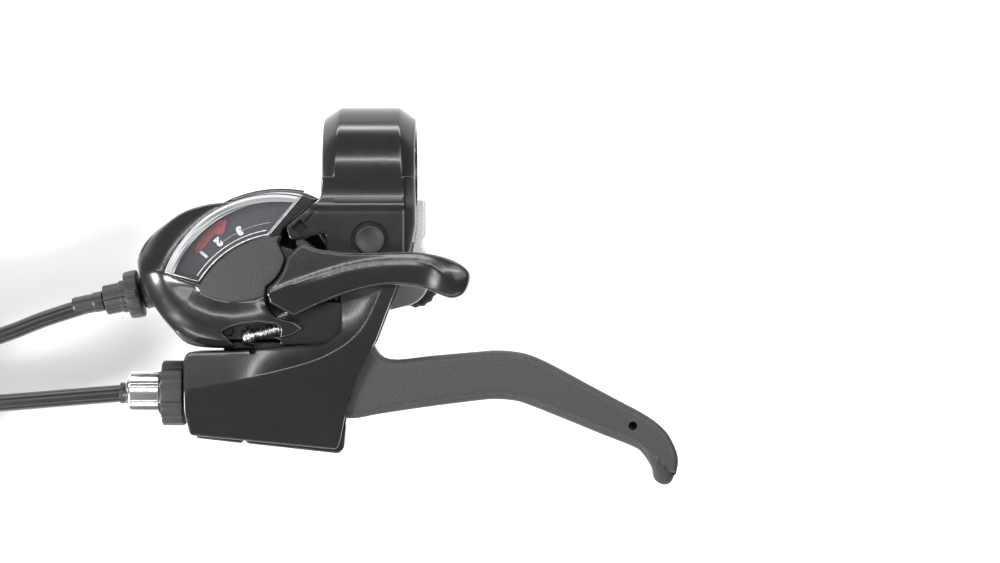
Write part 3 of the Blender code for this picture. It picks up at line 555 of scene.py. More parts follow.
def place_piece(name, data, material, body, nodes=(), place=(0, 0, 0), turn=0.0):
    """Links a piece that rides on a body and stands for the named nodes. turn is in degrees about +Z."""
    data.materials.append(material)
    obj = bpy.data.objects.new(name, data)
    obj.location = [v * MM for v in place]
    obj.rotation_euler = (0, 0, math.radians(turn))
    bpy.context.scene.collection.objects.link(obj)
    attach(obj, body)
    if nodes:
        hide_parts(*nodes)
    return obj


def show(name, bm, material, body, nodes=(), sharp=38.0):
    """Shows a mesh made in millimetres. Edges sharper than the angle sharp, in degrees, stay crisp."""
    bm.transform(Matrix.Scale(MM, 4))
    mesh = bpy.data.meshes.new(name)
    bm.to_mesh(mesh)
    bm.free()
    mesh.shade_smooth()
    mesh.set_sharp_from_angle(angle=math.radians(sharp))
    return place_piece(name, mesh, material, body, nodes)


def wire(name, points, radius, material, body, nodes=(), closed=False, sides=4):
    """A round wire or cord along points in millimetres."""
    curve = bpy.data.curves.new(name, "CURVE")
    curve.dimensions = "3D"
    curve.bevel_depth = radius * MM
    curve.bevel_resolution = sides
    curve.use_fill_caps = True
    spline = curve.splines.new("POLY")
    spline.points.add(len(points) - 1)
    for place, point in zip(points, spline.points):
        point.co = (*(Vector(place) * MM), 1.0)
    spline.use_cyclic_u = closed
    spline.use_smooth = True
    return place_piece(name, curve, material, body, nodes)


# Clamp and bracket

BAND_RADIUS = 17.35
BORE_RADIUS = 11.1
ARM_TOP = 13.0


def band_face(angle, sign):
    """Half width of the band's round face: it grows from the far side of the bar towards the arm."""
    towards_arm = 0.5 - 0.5 * math.sin(angle)
    return (8.2 if sign < 0 else 8.7) + 2.1 * towards_arm


def make_band():
    """Round clamp with chamfers that narrow towards the arm. Angles run from +Z, and +Y is at 90 degrees."""
    segments = 144
    bm = bmesh.new()
    rings = []
    for i in range(segments):
        angle = 2 * math.pi * i / segments
        left, right = band_face(angle, -1), band_face(angle, 1)
        corners = [(-12.95, 11.3), (-12.95, 14.2), (-left, BAND_RADIUS), (right, BAND_RADIUS), (13.35, 13.9)]
        corners.append((13.35, 11.3))
        profile = soft_profile([(-12.6, BORE_RADIUS), *corners, (13.0, BORE_RADIUS)], 0.55, 3)
        rings.append([
            bm.verts.new((x, radius * math.sin(angle), radius * math.cos(angle))) for x, radius in profile
        ])
    bridge_rows(bm, [*rings, rings[0]])
    return bm


CREASE = [(-52.4, -64.0), (-42.5, -62.3), (-32.7, -60.2), (-16.4, -55.8), (-8.2, -52.0), (-3.3, -48.2),
          (0.0, -43.8), (3.2, -37.0), (5.8, -30.0)]
CREASE_LINE = spaced(CREASE, 0.6)
ARM_LOOP = [
    (-12.95, -3.0), (-13.1, -8.8), (-19.0, -13.5), (-23.4, -17.2), (-22.2, -21.2), (-12.0, -19.2),
    (-11.8, -24.5), (-7.9, -29.0), (-7.9, -46.8), (-12.8, -50.6), (-24.0, -51.3), (-36.0, -52.6),
    (-51.4, -53.0), (-52.5, -55.0), (-52.5, -70.0), (-50.8, -76.8), (-35.0, -78.3), (-8.9, -80.9),
    (-8.0, -78.0), (-5.7, -66.6), (-3.0, -59.1), (2.3, -49.5), (5.2, -41.7), (8.2, -34.3), (12.2, -23.8),
    (13.4, -16.8), (13.4, -3.0),
]


MOST_DROP = 3.3
SLIT_HEIGHTS = (-8.6, -7.3)
SLOT_HEIGHTS = (-2.5, 8.5)
SLOT_ARC = arc(BRAKE_PIVOT, 7.0, -4, 200, 24)


def bar_bore():
    return rod(BORE_RADIUS, -30, 30, axis=(1, 0, 0), segments=96)


def reach_bore():
    return rod(2.35, 4, 34, REACH_HEAD, REACH_DIRECTION, 32)


def arm_top(points):
    """Flat below the band, a folded hollow beside the case, and a crowned cover over the cable stop."""
    x, y = points[:, 0], points[:, 1]
    barrel = np.sqrt(np.maximum(BAND_RADIUS**2 - np.minimum(y, 0.0)**2, 0.0)) + 0.015
    blend = 1.6
    mix = np.clip(0.5 + 0.5 * (barrel - ARM_TOP) / blend, 0, 1)
    z = barrel * mix + ARM_TOP * (1 - mix) + blend * mix * (1 - mix) * 0.5
    z = np.where(y < -14, ARM_TOP, z)
    z = z - np.maximum(x - 10.3, 0) * 1.05 * ramp(y, -40.0, -26.0)

    off = side_of(points, CREASE_LINE)
    beside = ramp(-y, 27.0, 38.0)
    hollow = np.clip(off, 0, 14)
    steep = 0.10 + 0.34 * ramp(x, -40.0, -22.0)
    z = z - beside * (steep * hollow - 0.018 * ramp(x, -40.0, -22.0) * hollow**2)
    crown = np.clip(-off, 0, 30)
    over_stop = ramp(-y, 44.0, 58.0)
    drop = beside * crown * 0.05 + over_stop * (0.0145 * crown**2 + 0.03 * crown)
    return z - MOST_DROP * (1 - np.exp(-drop / MOST_DROP))


def make_bracket(gloss, bare):
    arm = slab(filleted(ARM_LOOP, 1.1, 4), arm_top, -12.5, edge=0.55, step=0.8,
               extra=fold_lines(CREASE_LINE, 0.45))
    lever_slot = [*SLOT_ARC, (-5.8, -40.0), (-8.5, -49.5), (-16.5, -56.0), (-40.0, -58.0), (-40.0, -90.0)]
    lever_slot += [(40.0, -90.0), (40.0, -21.5)]
    slit = block([(-30, -7), (30, -7), (30, -40), (-6.9, -40), (-6.9, -30), (-30, -30)], *SLIT_HEIGHTS)
    relief = block([(-60, -57), (20, -57), (20, -90), (-60, -90)], -13.5, -7.0)
    stop_bore = rod(4.95, 0, 25, (-60, *BRAKE_STOP[1:]), (1, 0, 0), 48)
    groove = rod(5.45, ARM_TOP - 1.3, 40, (*BRAKE_PIVOT, 0))
    pin_bore = rod(3.35, -6.6, 40, (*BRAKE_PIVOT, 0), segments=48)
    bolt_bore = rod(2.85, -40, 7, (*CLAMP_BOLT, 0), segments=32)
    recess = block([(-21.9, -17.9), (-19.3, -15.2), (-16.9, -17.4), (-19.4, -20.1)], 10.0, 40.0)
    notch = block([(-18.1, -15.9), (-15.0, -12.2), (-14.7, -12.45), (-17.8, -16.2)], 11.0, 40.0)
    drop = rod(1.1, 0, 40, (-32.9, -52.6, 0), segments=24)
    cutters = [bar_bore(), slit, relief, block(lever_slot, *SLOT_HEIGHTS), stop_bore, reach_bore(), groove]
    arm = carve(arm, [*cutters, pin_bore, bolt_bore, recess, notch, drop])
    show("bracket_arm", arm, gloss, "unit", ("bracket_body",))

    slit = block([(-30, -7), (30, -7), (30, -40), (-30, -40)], *SLIT_HEIGHTS)
    slot = block([*SLOT_ARC, (-5.8, -60.0), (40.0, -60.0), (40.0, -21.5)], *SLOT_HEIGHTS)
    show("clamp_band", carve(make_band(), (slit, slot)), gloss, "unit")

    ear_loop = [(-12.7, -9.0), (15.7, -9.0), (15.7, -19.6), (14.8, -20.4), (14.8, -22.6), (15.7, -23.4)]
    ear_loop += [(15.7, -26.4), (-4.0, -26.4), (-8.6, -24.0), (-12.7, -16.4)]
    ear = slab(filleted(ear_loop, 0.9, 4), -8.65, -17.2, 0.4, 0.6, 1.2,
               holes=[circle(CLAMP_BOLT, 2.85)])
    show("clamp_ear", carve(ear, (bar_bore(),)), bare, "unit")

    jaw_loop = [(-50.2, -72.0), (-50.7, -78.4), (-37.4, -79.9), (-36.6, -78.9), (-35.6, -80.0), (-9.2, -82.9)]
    jaw_loop += [(-7.7, -81.4), (-7.0, -74.0)]
    jaw = slab(filleted(jaw_loop, 0.9, 4), -2.6, -6.9, 0.7, 0.9, 1.4)
    show("cable_stop_lower_jaw", jaw, gloss, "unit")

    platform_loop = [(-43.4, -24.0), (-43.4, -56.0), (-7.0, -56.0), (-7.0, -24.0), (-14.0, -20.0)]
    platform = slab(filleted(platform_loop, 2.5, 5), -10.3, -12.5, 0.3, 0.6, 1.6,
                    holes=[circle(DRUM_AXIS, 6.4), circle(UNIT_SCREW, 2.35)])
    show("bracket_platform", platform, gloss, "unit")
    bridge_loop = [(-25.2, -51.0), (-25.2, -43.2), (-12.0, -38.8), (-7.4, -38.8), (-7.4, -51.0)]
    bridge = slab(filleted(bridge_loop, 0.8, 4), 9.4, 3.4, 0.4, 0.4, 1.4)
    show("reach_screw_bridge", carve(bridge, (reach_bore(),)), gloss, "unit")


# Shifter case

LENS_CENTRE = (-25.0, -42.4)
LENS_OUTER = 34.9
LENS_RIM = 2.7
LENS_INNER_CENTRE = (-23.6, -47.5)
LENS_INNER = 28.2
LENS_FIRST, LENS_LAST = 79.2, 159.4
LENS_STEPS = 40
INNER_FIRST, INNER_LAST = 98.4, 149.2
BOSS_RADIUS = 11.0
DISH = [(-58.6, -30.6), (-57.8, -33.9), (-56.1, -37.5), (-52.5, -41.6), (-47.7, -44.6), (-41.6, -46.6)]
DISH_LINE = spaced(DISH, 0.6)
BOSS_EDGE = [(-48.1, -34.2), (-47.4, -35.6), (-43.0, -37.8), (-37.9, -38.6), (-32.5, -38.0), (-29.1, -36.9)]
SHELL = [(-38.5, -10.2), (-46.6, -11.1), (-54.2, -13.8), (-62.3, -20.2), (-65.7, -24.8), (-65.7, -30.0),
         (-63.3, -36.7), (-59.7, -42.5), (-56.1, -46.8), (-51.5, -50.6), (-43.7, -51.9)]
TAIL = [(-37.9, -51.5), (-39.8, -49.7), (-42.0, -47.3), (-39.5, -46.1), (-35.5, -45.2), (-31.0, -44.8),
        (-26.2, -45.2), (-25.1, -46.4), (-25.3, -49.2), (-21.8, -48.4), (-18.4, -46.3), (-21.4, -44.2),
        (-26.2, -43.1), (-28.4, -40.6), (-28.9, -37.2)]
CASE_LOOP = [(-14.5, -12.6), (-30.0, -12.2), (-46.6, -11.9), (-54.2, -13.8), (-62.5, -20.0), (-65.9, -25.5),
             (-65.9, -30.1), (-63.3, -36.7), (-59.7, -42.5), (-56.1, -46.8), (-51.7, -50.8), (-43.7, -52.0),
             (-30.0, -52.0), (-13.2, -52.0), (-8.4, -46.6), (-8.4, -28.0), (-10.2, -23.6), (-13.6, -17.0)]


def cover_loop():
    lens_edge = arc(LENS_CENTRE, LENS_OUTER + 0.55, 77.5, 112.0, 14)
    shell = smooth(SHELL, 4)
    boss = arc(RELEASE_AXIS, BOSS_RADIUS, -61.0, -8.0, 12)
    gap_side = [(-25.3, -21.4), (-24.1, -18.0), (-19.4, -14.0), (-13.9, -9.4)]
    return [*lens_edge, *shell, *TAIL, *boss, *gap_side]


def lens_loop(grow=0.0):
    outer = arc(LENS_CENTRE, LENS_OUTER + grow, LENS_FIRST, LENS_LAST, LENS_STEPS)
    inner = arc(LENS_INNER_CENTRE, LENS_INNER - grow, INNER_LAST, INNER_FIRST, 30)
    return [*outer, *inner]


def boss_loop():
    inner = arc(LENS_INNER_CENTRE, LENS_INNER - 0.7, INNER_FIRST, INNER_LAST + 1.0, 30)
    edge = smooth(BOSS_EDGE, 5)
    side = arc(RELEASE_AXIS, BOSS_RADIUS - 0.15, -60.0, -8.0, 14)
    return [*inner, *edge, *side, (-25.6, -21.6), (-24.6, -19.8)]


def core_loop():
    outer = arc(LENS_CENTRE, LENS_OUTER, LENS_FIRST, LENS_LAST, 24)
    return [*outer, *BOSS_EDGE, (-28.6, -35.0), (-23.0, -28.0), (-24.6, -19.0), (-15.0, -9.0)]


def crease_loop():
    outer = arc(LENS_CENTRE, LENS_OUTER, LENS_FIRST, LENS_LAST, 24)
    inside = [(-36.0, -47.6), (-24.0, -48.6), (-16.0, -46.0), (-23.0, -38.0), (-23.0, -19.0), (-14.0, -8.0)]
    return [*outer, *DISH_LINE, *inside]


COVER_RIM = 13.3
BOSS_TOP = 15.4


def cover_top(points):
    """Level round the window, hollow below the boss and rounded off outside the crease."""
    y = points[:, 1]
    core = depth_in(points, core_loop())
    crease = depth_in(points, crease_loop())
    crease_height = COVER_RIM - 2.7 * ramp(-y, 29.0, 43.0)
    outside = np.maximum(-crease, 0)
    shell = crease_height - 0.10 * outside - 0.062 * outside**2
    to_core, to_crease = np.maximum(-core, 0), np.maximum(crease, 0)
    share = to_crease / np.maximum(to_crease + to_core, 1e-6)
    rim = COVER_RIM + (BOSS_TOP - 0.4 - COVER_RIM) * ramp(-y, 29.0, 34.5)
    dish = crease_height + (rim - crease_height) * share**1.7
    z = np.where(crease < 0, shell, np.where(core > 0, rim, dish))
    return np.maximum(z, 6.9)


def cover_low(points):
    loop = cover_loop()
    depth = depth_in(points, loop)
    over_bar = np.sqrt(np.maximum(12.4**2 - points[:, 1]**2, 0))
    under = np.maximum(8.1, over_bar) + 3.0 * ramp(depth, 1.0, 1.6)
    top = cover_top(points)
    return np.minimum(under, top - 1.1)


def make_cover(gloss, matte, satin):
    loop = filleted(cover_loop(), 0.5, 2)
    cover = slab(loop, cover_top, cover_low, edge=0.7, step=0.7, holes=[lens_loop(-0.1)],
                 extra=fold_lines(DISH_LINE, 0.4))
    show("case_cover_shell", cover, gloss, "unit", ("case_cover",), sharp=30)

    middle = np.array((-36.5, -28.5))
    boss = slab(filleted(boss_loop(), 0.5, 2),
                lambda p: BOSS_TOP + 0.25 - 0.0022 * ((p - middle) ** 2).sum(1), 12.6, edge=0.45, step=1.0)
    show("case_boss", boss, matte, "unit")

    outline = closed_curve(CASE_LOOP, 3)
    inner = inset(outline, 1.6)
    wall = slab(outline, 7.9, -8.6, edge=0.9, step=1.3, holes=[inner])
    boss_axis = (Vector(SHIFT_STOP), SHIFT_DIRECTION)
    boss = lathe(soft_profile([(-3.0, 4.9), (2.2, 4.9), (2.95, 4.3), (2.95, 2.9)], 0.4), *boss_axis, 48)
    stem = rod(2.85, -9, 9, *boss_axis, 48)
    way = block([(-38.8, -60.0), (-38.8, -46.2), (-24.0, -42.2), (-24.0, -60.0)], 2.3, 20)
    bridge = block([(-25.9, -53.2), (-25.9, -42.6), (-12.2, -38.4), (-6.6, -38.4), (-6.6, -53.2)], 3.0, 20)
    wall = carve(wall, (stem, way, bridge), (boss,))
    show("case_wall", wall, satin, "unit", ("case_tub",))
    holes = [circle(DRUM_AXIS, 4.9), circle(UNIT_SCREW, 2.35)]
    floor = slab(outline, -8.5, -10.0, edge=0.1, low_edge=1.2, step=1.6, holes=holes)
    show("case_floor", floor, satin, "unit")


def lens_material():
    """Clear plastic with an uneven haze."""
    made, shader = new_material("clear_window", Base_Color=(0.16, 0.165, 0.18, 1), Roughness=0.08, Alpha=0.14)
    place = add_node(made, "TexCoord")
    haze = add_node(made, "TexNoise", Scale=260.0, Detail=6.0)
    spread = add_node(made, "MapRange", To_Min=0.04, To_Max=0.2)
    join(made, (place, "Object", haze, "Vector"), (haze, "Fac", spread, "Value"),
         (spread, "Result", shader, "Roughness"))
    return made


def vector_math(material, operation, other=(0.0, 0.0, 0.0)):
    node = add_node(material, "VectorMath")
    node.operation = operation
    node.inputs[1].default_value = other
    return node


def painted_highlight_rim_material():
    """Polished edge of the clear window, coloured with painted highlights: bright streaks that run along the
    arc.
    """
    made, shader = new_material("window_edge_painted_highlights", Roughness=0.18)
    place = add_node(made, "TexCoord")
    centre = vector_math(made, "SUBTRACT", (LENS_CENTRE[0] * MM, LENS_CENTRE[1] * MM, 0.0))
    flat = vector_math(made, "MULTIPLY", (1.0, 1.0, 0.0))
    length = vector_math(made, "LENGTH")
    across = add_node(made, "CombineXYZ")
    along = set_inputs(vector_math(made, "SCALE"), {"Scale": 0.035})
    mixed = vector_math(made, "ADD")
    # The noise streaks in the base colour are painted highlights along the edge.
    painted_glint_streaks = add_node(made, "TexNoise", Scale=2400.0, Detail=4.0)
    tones = add_node(made, "ValToRGB")
    dark, light = tones.color_ramp.elements
    dark.position, light.position = 0.36, 0.62
    dark.color = (0.06, 0.062, 0.064, 1)
    light.color = (0.62, 0.63, 0.64, 1)
    join(made, (place, "Object", centre, 0), (centre, "Vector", flat, 0), (flat, "Vector", length, 0),
         (length, "Value", across, "X"), (flat, "Vector", along, 0), (along, "Vector", mixed, 0),
         (across, "Vector", mixed, 1), (mixed, "Vector", painted_glint_streaks, "Vector"), (painted_glint_streaks, "Fac", tones, "Fac"),
         (tones, "Color", shader, "Base Color"))
    return made


LENS_TOP = 13.9
PRINT_LEVEL = 8.32


def make_window(dial, white, red, grey):
    clear = lens_material()
    # The window's rim takes a material of painted highlight streaks.
    edge = painted_highlight_rim_material()
    lens = slab(lens_loop(-0.3), LENS_TOP, 12.6, edge=0.35, low_edge=0.2, step=1.6)
    show("dial_window", lens, clear, "unit", ("indicator_lens",))

    rim_loop = [*arc(LENS_CENTRE, LENS_OUTER - 0.1, LENS_FIRST + 0.3, LENS_LAST - 0.3, 60),
                *arc(LENS_CENTRE, LENS_OUTER - LENS_RIM, LENS_LAST - 0.9, LENS_FIRST + 3.0, 60)]

    def rim_top(points):
        out = np.linalg.norm(points - np.array(LENS_CENTRE), axis=1) - (LENS_OUTER - LENS_RIM)
        step_up = 0.25 * ramp(out, 0.55, 0.75) + 0.2 * ramp(out, 1.45, 1.6)
        return LENS_TOP + 0.08 + step_up

    rim = slab(rim_loop, rim_top, LENS_TOP - 0.6, edge=0.18, step=0.4)
    show("dial_window_rim", rim, edge, "unit")
    inner = arc(LENS_INNER_CENTRE, LENS_INNER + 0.15, INNER_FIRST + 0.5, INNER_LAST - 0.5, 60)
    outer = arc(LENS_INNER_CENTRE, LENS_INNER + 1.4, INNER_FIRST + 1.5, INNER_LAST - 2.5, 60)
    corners = lens_loop(-0.25)
    left_end = corners[LENS_STEPS:LENS_STEPS + 2]
    right_end = [corners[-1], corners[0]]
    inner_end = [(x - 1.1, y - 0.6) for x, y in right_end]
    # Thin wires along the window's edges, coloured light grey as painted highlights.
    glint_wires = {"inner_ridge": (inner, 0.2), "outer_ridge": (outer, 0.13), "left_ridge": (left_end, 0.17)}
    glint_wires |= {"right_ridge": (right_end, 0.14), "right_inner_ridge": (inner_end, 0.09)}
    for name, (line, radius) in glint_wires.items():
        wire("dial_window_" + name, [(x, y, LENS_TOP + 0.04) for x, y in line], radius, grey, "unit")

    face_loop = lens_loop(1.2)
    face = slab(face_loop, 8.25, 7.95, edge=0.1, step=1.6)
    show("dial_face", face, dial, "unit", ("case_deck",))
    line = arc(DRUM_AXIS, 28.6, 97, 128, 30)
    wire("dial_line", [(x, y, 8.27) for x, y in line], 0.09, grey, "unit")
    for digit, angle, radius in (("1", 139.6, 29.9), ("2", 129.0, 29.4), ("3", 115.6, 28.9)):
        make_digit(digit, angle, radius, white)

    wedge = [polar(DRUM_AXIS, radius, angle) for angle, radius in (
        (142.8, 31.3), (139.8, 32.7), (137.3, 33.2), (131.5, 33.9), (126.0, 34.2), (121.5, 34.0),
        (118.6, 33.4), (121.5, 31.2), (124.6, 30.2), (127.6, 31.6), (132.0, 31.2), (135.9, 30.8),
        (139.5, 31.0),
    )]
    pointer = slab(filleted(wedge, 0.4, 3), 8.85, 8.5, edge=0.12, step=0.8)
    show("dial_pointer", pointer, red, "cable_drum")


def make_digit(digit, angle, radius, white):
    """A numeral whose top points to the drum's axis."""
    text = bpy.data.curves.new("numeral_" + digit, "FONT")
    text.body = digit
    text.size = 3.2 * MM
    text.align_x = "CENTER"
    text.align_y = "CENTER"
    text.extrude = 0.05 * MM
    text.offset = 0.25 * MM
    text.resolution_u = 6
    place = (*polar(DRUM_AXIS, radius, angle), PRINT_LEVEL)
    place_piece("numeral_" + digit, text, white, "unit", place=place, turn=angle + 90.0)


# Levers

HANDLE = [
    (-22.2, -25.6), (-18.6, -22.3), (-14.8, -23.4), (-9.6, -24.3), (-2.8, -24.8), (5.2, -24.6), (12.4, -24.5),
    (17.2, -25.0), (22.4, -26.2), (26.6, -28.2), (28.9, -30.6), (28.6, -33.9), (26.9, -36.6), (24.0, -37.6),
    (21.0, -36.8), (16.4, -34.9), (12.4, -34.1), (7.2, -33.8), (1.2, -34.5), (-6.8, -36.7), (-14.8, -39.9),
    (-20.7, -42.7),
]
HANDLE_END = [(-27.4, -39.0), (-28.2, -36.5)]
RIDGE = [(-29.0, -37.0), (-20.7, -33.7), (-10.8, -30.4), (-2.8, -28.3), (5.2, -27.3), (13.2, -27.2),
         (18.0, -28.4), (21.6, -31.0)]
RIDGE_LINE = spaced(RIDGE, 0.6)
HANDLE_TOP = 18.6


def handle_top(points):
    """A flat upper face, a soft ridge and a hollow lower face, full and round at the tip."""
    x = points[:, 0]
    off = side_of(points, RIDGE_LINE)
    below, above = np.maximum(-off, 0), np.maximum(off, 0)
    slope = 0.36 * ramp(x, -34.0, -10.0) + 0.06
    roll = 0.22 * np.exp(-(off / 0.85) ** 2)
    z = HANDLE_TOP + roll - slope * below * (1 - 0.035 * below) - 0.035 * above
    tip = ramp(x, 14.0, 26.0)
    middle = np.array((22.6, -31.4))
    bulb = 18.9 - 0.045 * ((points - middle) ** 2).sum(1)
    return z * (1 - tip) + bulb * tip


def make_release_lever(gloss, satin):
    outline = smooth(HANDLE, 4)
    swing = arc(RELEASE_AXIS, 11.6, -58.0, -4.5, 12)
    loop = [*outline, *HANDLE_END, *swing]
    handle = slab(filleted(loop, 0.25, 2), handle_top, 14.0, edge=0.8, low_edge=0.5, step=0.6,
                  extra=fold_lines(RIDGE_LINE, 0.45))
    show("release_handle", handle, gloss, "release_lever", ("release_lever",), sharp=30)
    root_loop = [(-31.5, -20.9), (-21.4, -23.6), (-16.4, -30.0), (-18.8, -39.6), (-26.0, -37.0),
                 (-36.0, -28.5)]
    root = slab(filleted(root_loop, 1.5, 4), 11.2, 8.5, edge=0.3, low_edge=0.3, step=1.4,
                holes=[circle(RELEASE_AXIS, 2.35)])
    show("release_root", root, satin, "release_lever")
    riser_loop = [(-20.8, -25.4), (-18.2, -24.4), (-14.2, -30.0), (-17.8, -39.6), (-22.4, -39.4),
                  (-23.2, -35.0)]
    riser = slab(filleted(riser_loop, 1.2, 4), 15.0, 8.7, edge=0.2, step=1.4)
    show("release_riser", riser, satin, "release_lever")
    mark = [(-20.2, -25.6), (-17.6, -24.7), (-17.2, -26.5)]
    line = dense(filleted(mark, 0.2, 2), 0.4)
    line = [(x, y, z) for (x, y), z in zip(line, handle_top(line))]
    wire("release_direction_mark", line, 0.11, gloss, "release_lever", closed=True, sides=2)


LEVER = [
    (-5.0, -27.0), (-4.6, -34.0), (-4.7, -41.0), (-6.5, -49.0), (-12.5, -57.5), (-14.3, -64.5),
    (-12.0, -70.5), (-5.1, -72.2), (2.6, -71.0), (16.1, -69.0), (29.5, -67.3), (36.2, -66.7),
    (42.2, -67.2), (46.3, -68.5), (56.4, -72.5), (66.4, -76.6), (75.8, -80.3), (78.5, -82.3),
    (81.2, -86.3), (82.2, -90.0), (84.9, -91.5), (87.2, -90.3), (88.6, -85.6), (88.2, -81.6),
    (85.2, -75.9), (79.8, -71.5), (71.8, -67.2), (61.7, -61.8), (51.6, -56.4), (44.9, -53.7),
    (37.5, -52.8), (30.8, -53.2), (18.1, -54.3), (6.0, -55.3), (1.6, -51.7), (1.0, -47.0), (2.4, -41.0),
    (4.4, -34.0), (6.0, -27.0),
]
LOWER_BEVEL = [(0.0, -69.2), (16.1, -66.6), (29.5, -64.7), (37.0, -64.2), (45.4, -65.6), (56.0, -69.6),
               (66.0, -73.6), (76.0, -77.8), (81.0, -82.0)]
BEVEL_LINE = spaced(LOWER_BEVEL, 0.7)


def lever_top(points):
    """Crowned blade with a bevel along its front edge."""
    below = np.maximum(-side_of(points, BEVEL_LINE), 0)
    blade = ramp(points[:, 0], -4.0, 8.0)
    return 8.0 - blade * 0.42 * below


def make_brake_lever(paint):
    outline = smooth(LEVER, 4)
    boss = arc(BRAKE_PIVOT, 6.2, 0, 170, 20)
    holes = [circle(BRAKE_PIVOT, 3.95), circle((-8.6, BRAKE_STOP[1]), 3.35)]
    blade = slab([*outline, *boss], lever_top, -2.0, edge=1.5, low_edge=1.3, step=0.9, holes=holes,
                 extra=fold_lines(BEVEL_LINE, 0.5))
    wire_slot = block([(-20, -66.2), (-20, -63.8), (-9, -63.8), (-9, -66.2)], 1.6, 4.4)
    blade = carve(blade, (wire_slot, rod(1.25, 2.5, 20.0, (75.6, -74.2, 0), segments=32)))
    show("brake_lever_blade", blade, paint, "brake_lever", ("brake_lever",))


def make_pivot_pin(satin):
    profile = [(-6.2, 2.4), (-5.8, 3.0), (-2.9, 3.0), (-2.9, 2.5), (8.4, 2.5), (8.4, 3.0), (12.1, 3.0),
               (12.1, 4.2)]
    profile += [*soft_profile([(12.1, 4.2), (13.25, 4.2), (13.25, 3.2)], 0.4, 5)[1:], (13.1, 2.9),
                (13.1, 0.4)]
    pin = lathe(profile, (*BRAKE_PIVOT, 0), segments=72)
    show("brake_pin", pin, satin, "unit", ("brake_pivot_pin",))


# Cable adjusters

RING_RIBS = 10


def make_brake_adjuster(nickel, matte, satin):
    def ribbed(angle, along, radius):
        if radius < 8.0:
            return radius
        wave = 0.5 + 0.5 * math.cos(RING_RIBS * angle)
        return radius - 0.75 * (1 - wave) ** 5

    profile = soft_profile([(-59.3, 5.1), (-59.3, 9.45), (-52.95, 9.45), (-52.95, 5.1)], 0.7, 5)
    ring = lathe(profile, BRAKE_STOP, (1, 0, 0), 240, bored=True, shape=ribbed)
    show("brake_ring_nut", ring, matte, "brake_lock_ring", ("brake_lock_ring",))

    def grooved(angle, along, radius):
        if radius < 6.0 or along < -68.9:
            return radius
        return radius - 0.42 * max(0.0, math.cos(8 * angle + math.pi)) ** 14

    profile = [(-69.55, 3.1), (-69.55, 5.0), (-68.7, 6.15), (-68.3, 6.42), (-60.3, 6.42), (-59.8, 6.1),
               (-59.8, 4.5)]
    profile = soft_profile(profile, 0.3, 3)
    thread = [(-59.0 + 0.4 * i, 4.55 - 0.35 * (i % 2)) for i in range(46)]
    profile += [*thread, (-40.6, 1.5), (-64.0, 1.5), (-64.0, 3.0)]
    barrel = lathe(profile, BRAKE_STOP, (1, 0, 0), 192, bored=True, shape=grooved)
    show("brake_barrel", barrel, nickel, "brake_adjuster", ("brake_adjuster",))
    profile = [(-71.6, 2.6), (-71.6, 3.0), (-70.6, 3.0), (-70.3, 2.75), (-70.0, 3.0), (-69.7, 3.0),
               (-69.7, 2.62)]
    profile += [(-64.3, 2.62), (-64.3, 2.55), (-71.6, 2.55)]
    ferrule = lathe(soft_profile(profile, 0.1, 2), BRAKE_STOP, (1, 0, 0), 64, bored=True)
    show("brake_housing_ferrule", ferrule, satin, "unit", ("brake_ferrule",))


def make_shift_adjuster(matte, satin):
    def ribbed(angle, along, radius):
        if radius < 5.6:
            return radius - (0.25 * max(0.0, math.cos(12 * angle)) ** 6 if radius > 3.5 else 0.0)
        return radius - 0.6 * max(0.0, math.cos(8 * angle)) ** 8

    profile = [(-2.5, 1.2), (-2.5, 2.45), (3.4, 2.45), (3.4, 6.9), (5.0, 7.0), (7.3, 6.8), (7.3, 4.7),
               (9.0, 4.7)]
    profile += [(9.3, 4.3), (13.9, 4.3), (14.1, 3.6), (14.1, 1.2)]
    body = lathe(soft_profile(profile, 0.45, 3), SHIFT_STOP, SHIFT_DIRECTION, 192, bored=True, shape=ribbed)
    show("shift_barrel", body, matte, "shift_adjuster", ("shift_adjuster",))
    nub_place = Vector(SHIFT_STOP) + Vector((0, 0, 6.9))
    nub = soft_profile([(3.9, 0.3), (3.9, 1.35), (6.9, 1.35), (6.9, 0.3)], 0.3)
    nub = lathe(nub, nub_place, SHIFT_DIRECTION, 32)
    show("shift_barrel_rib", nub, matte, "shift_adjuster")
    profile = [(14.5, 2.4), (14.5, 2.9), (17.0, 2.9), (17.4, 2.7), (22.6, 2.7), (23.3, 2.5), (23.3, 2.4)]
    ferrule = lathe(soft_profile(profile, 0.15, 2), SHIFT_STOP, SHIFT_DIRECTION, 64, bored=True)
    show("shift_housing_ferrule", ferrule, satin, "unit", ("shift_ferrule",))


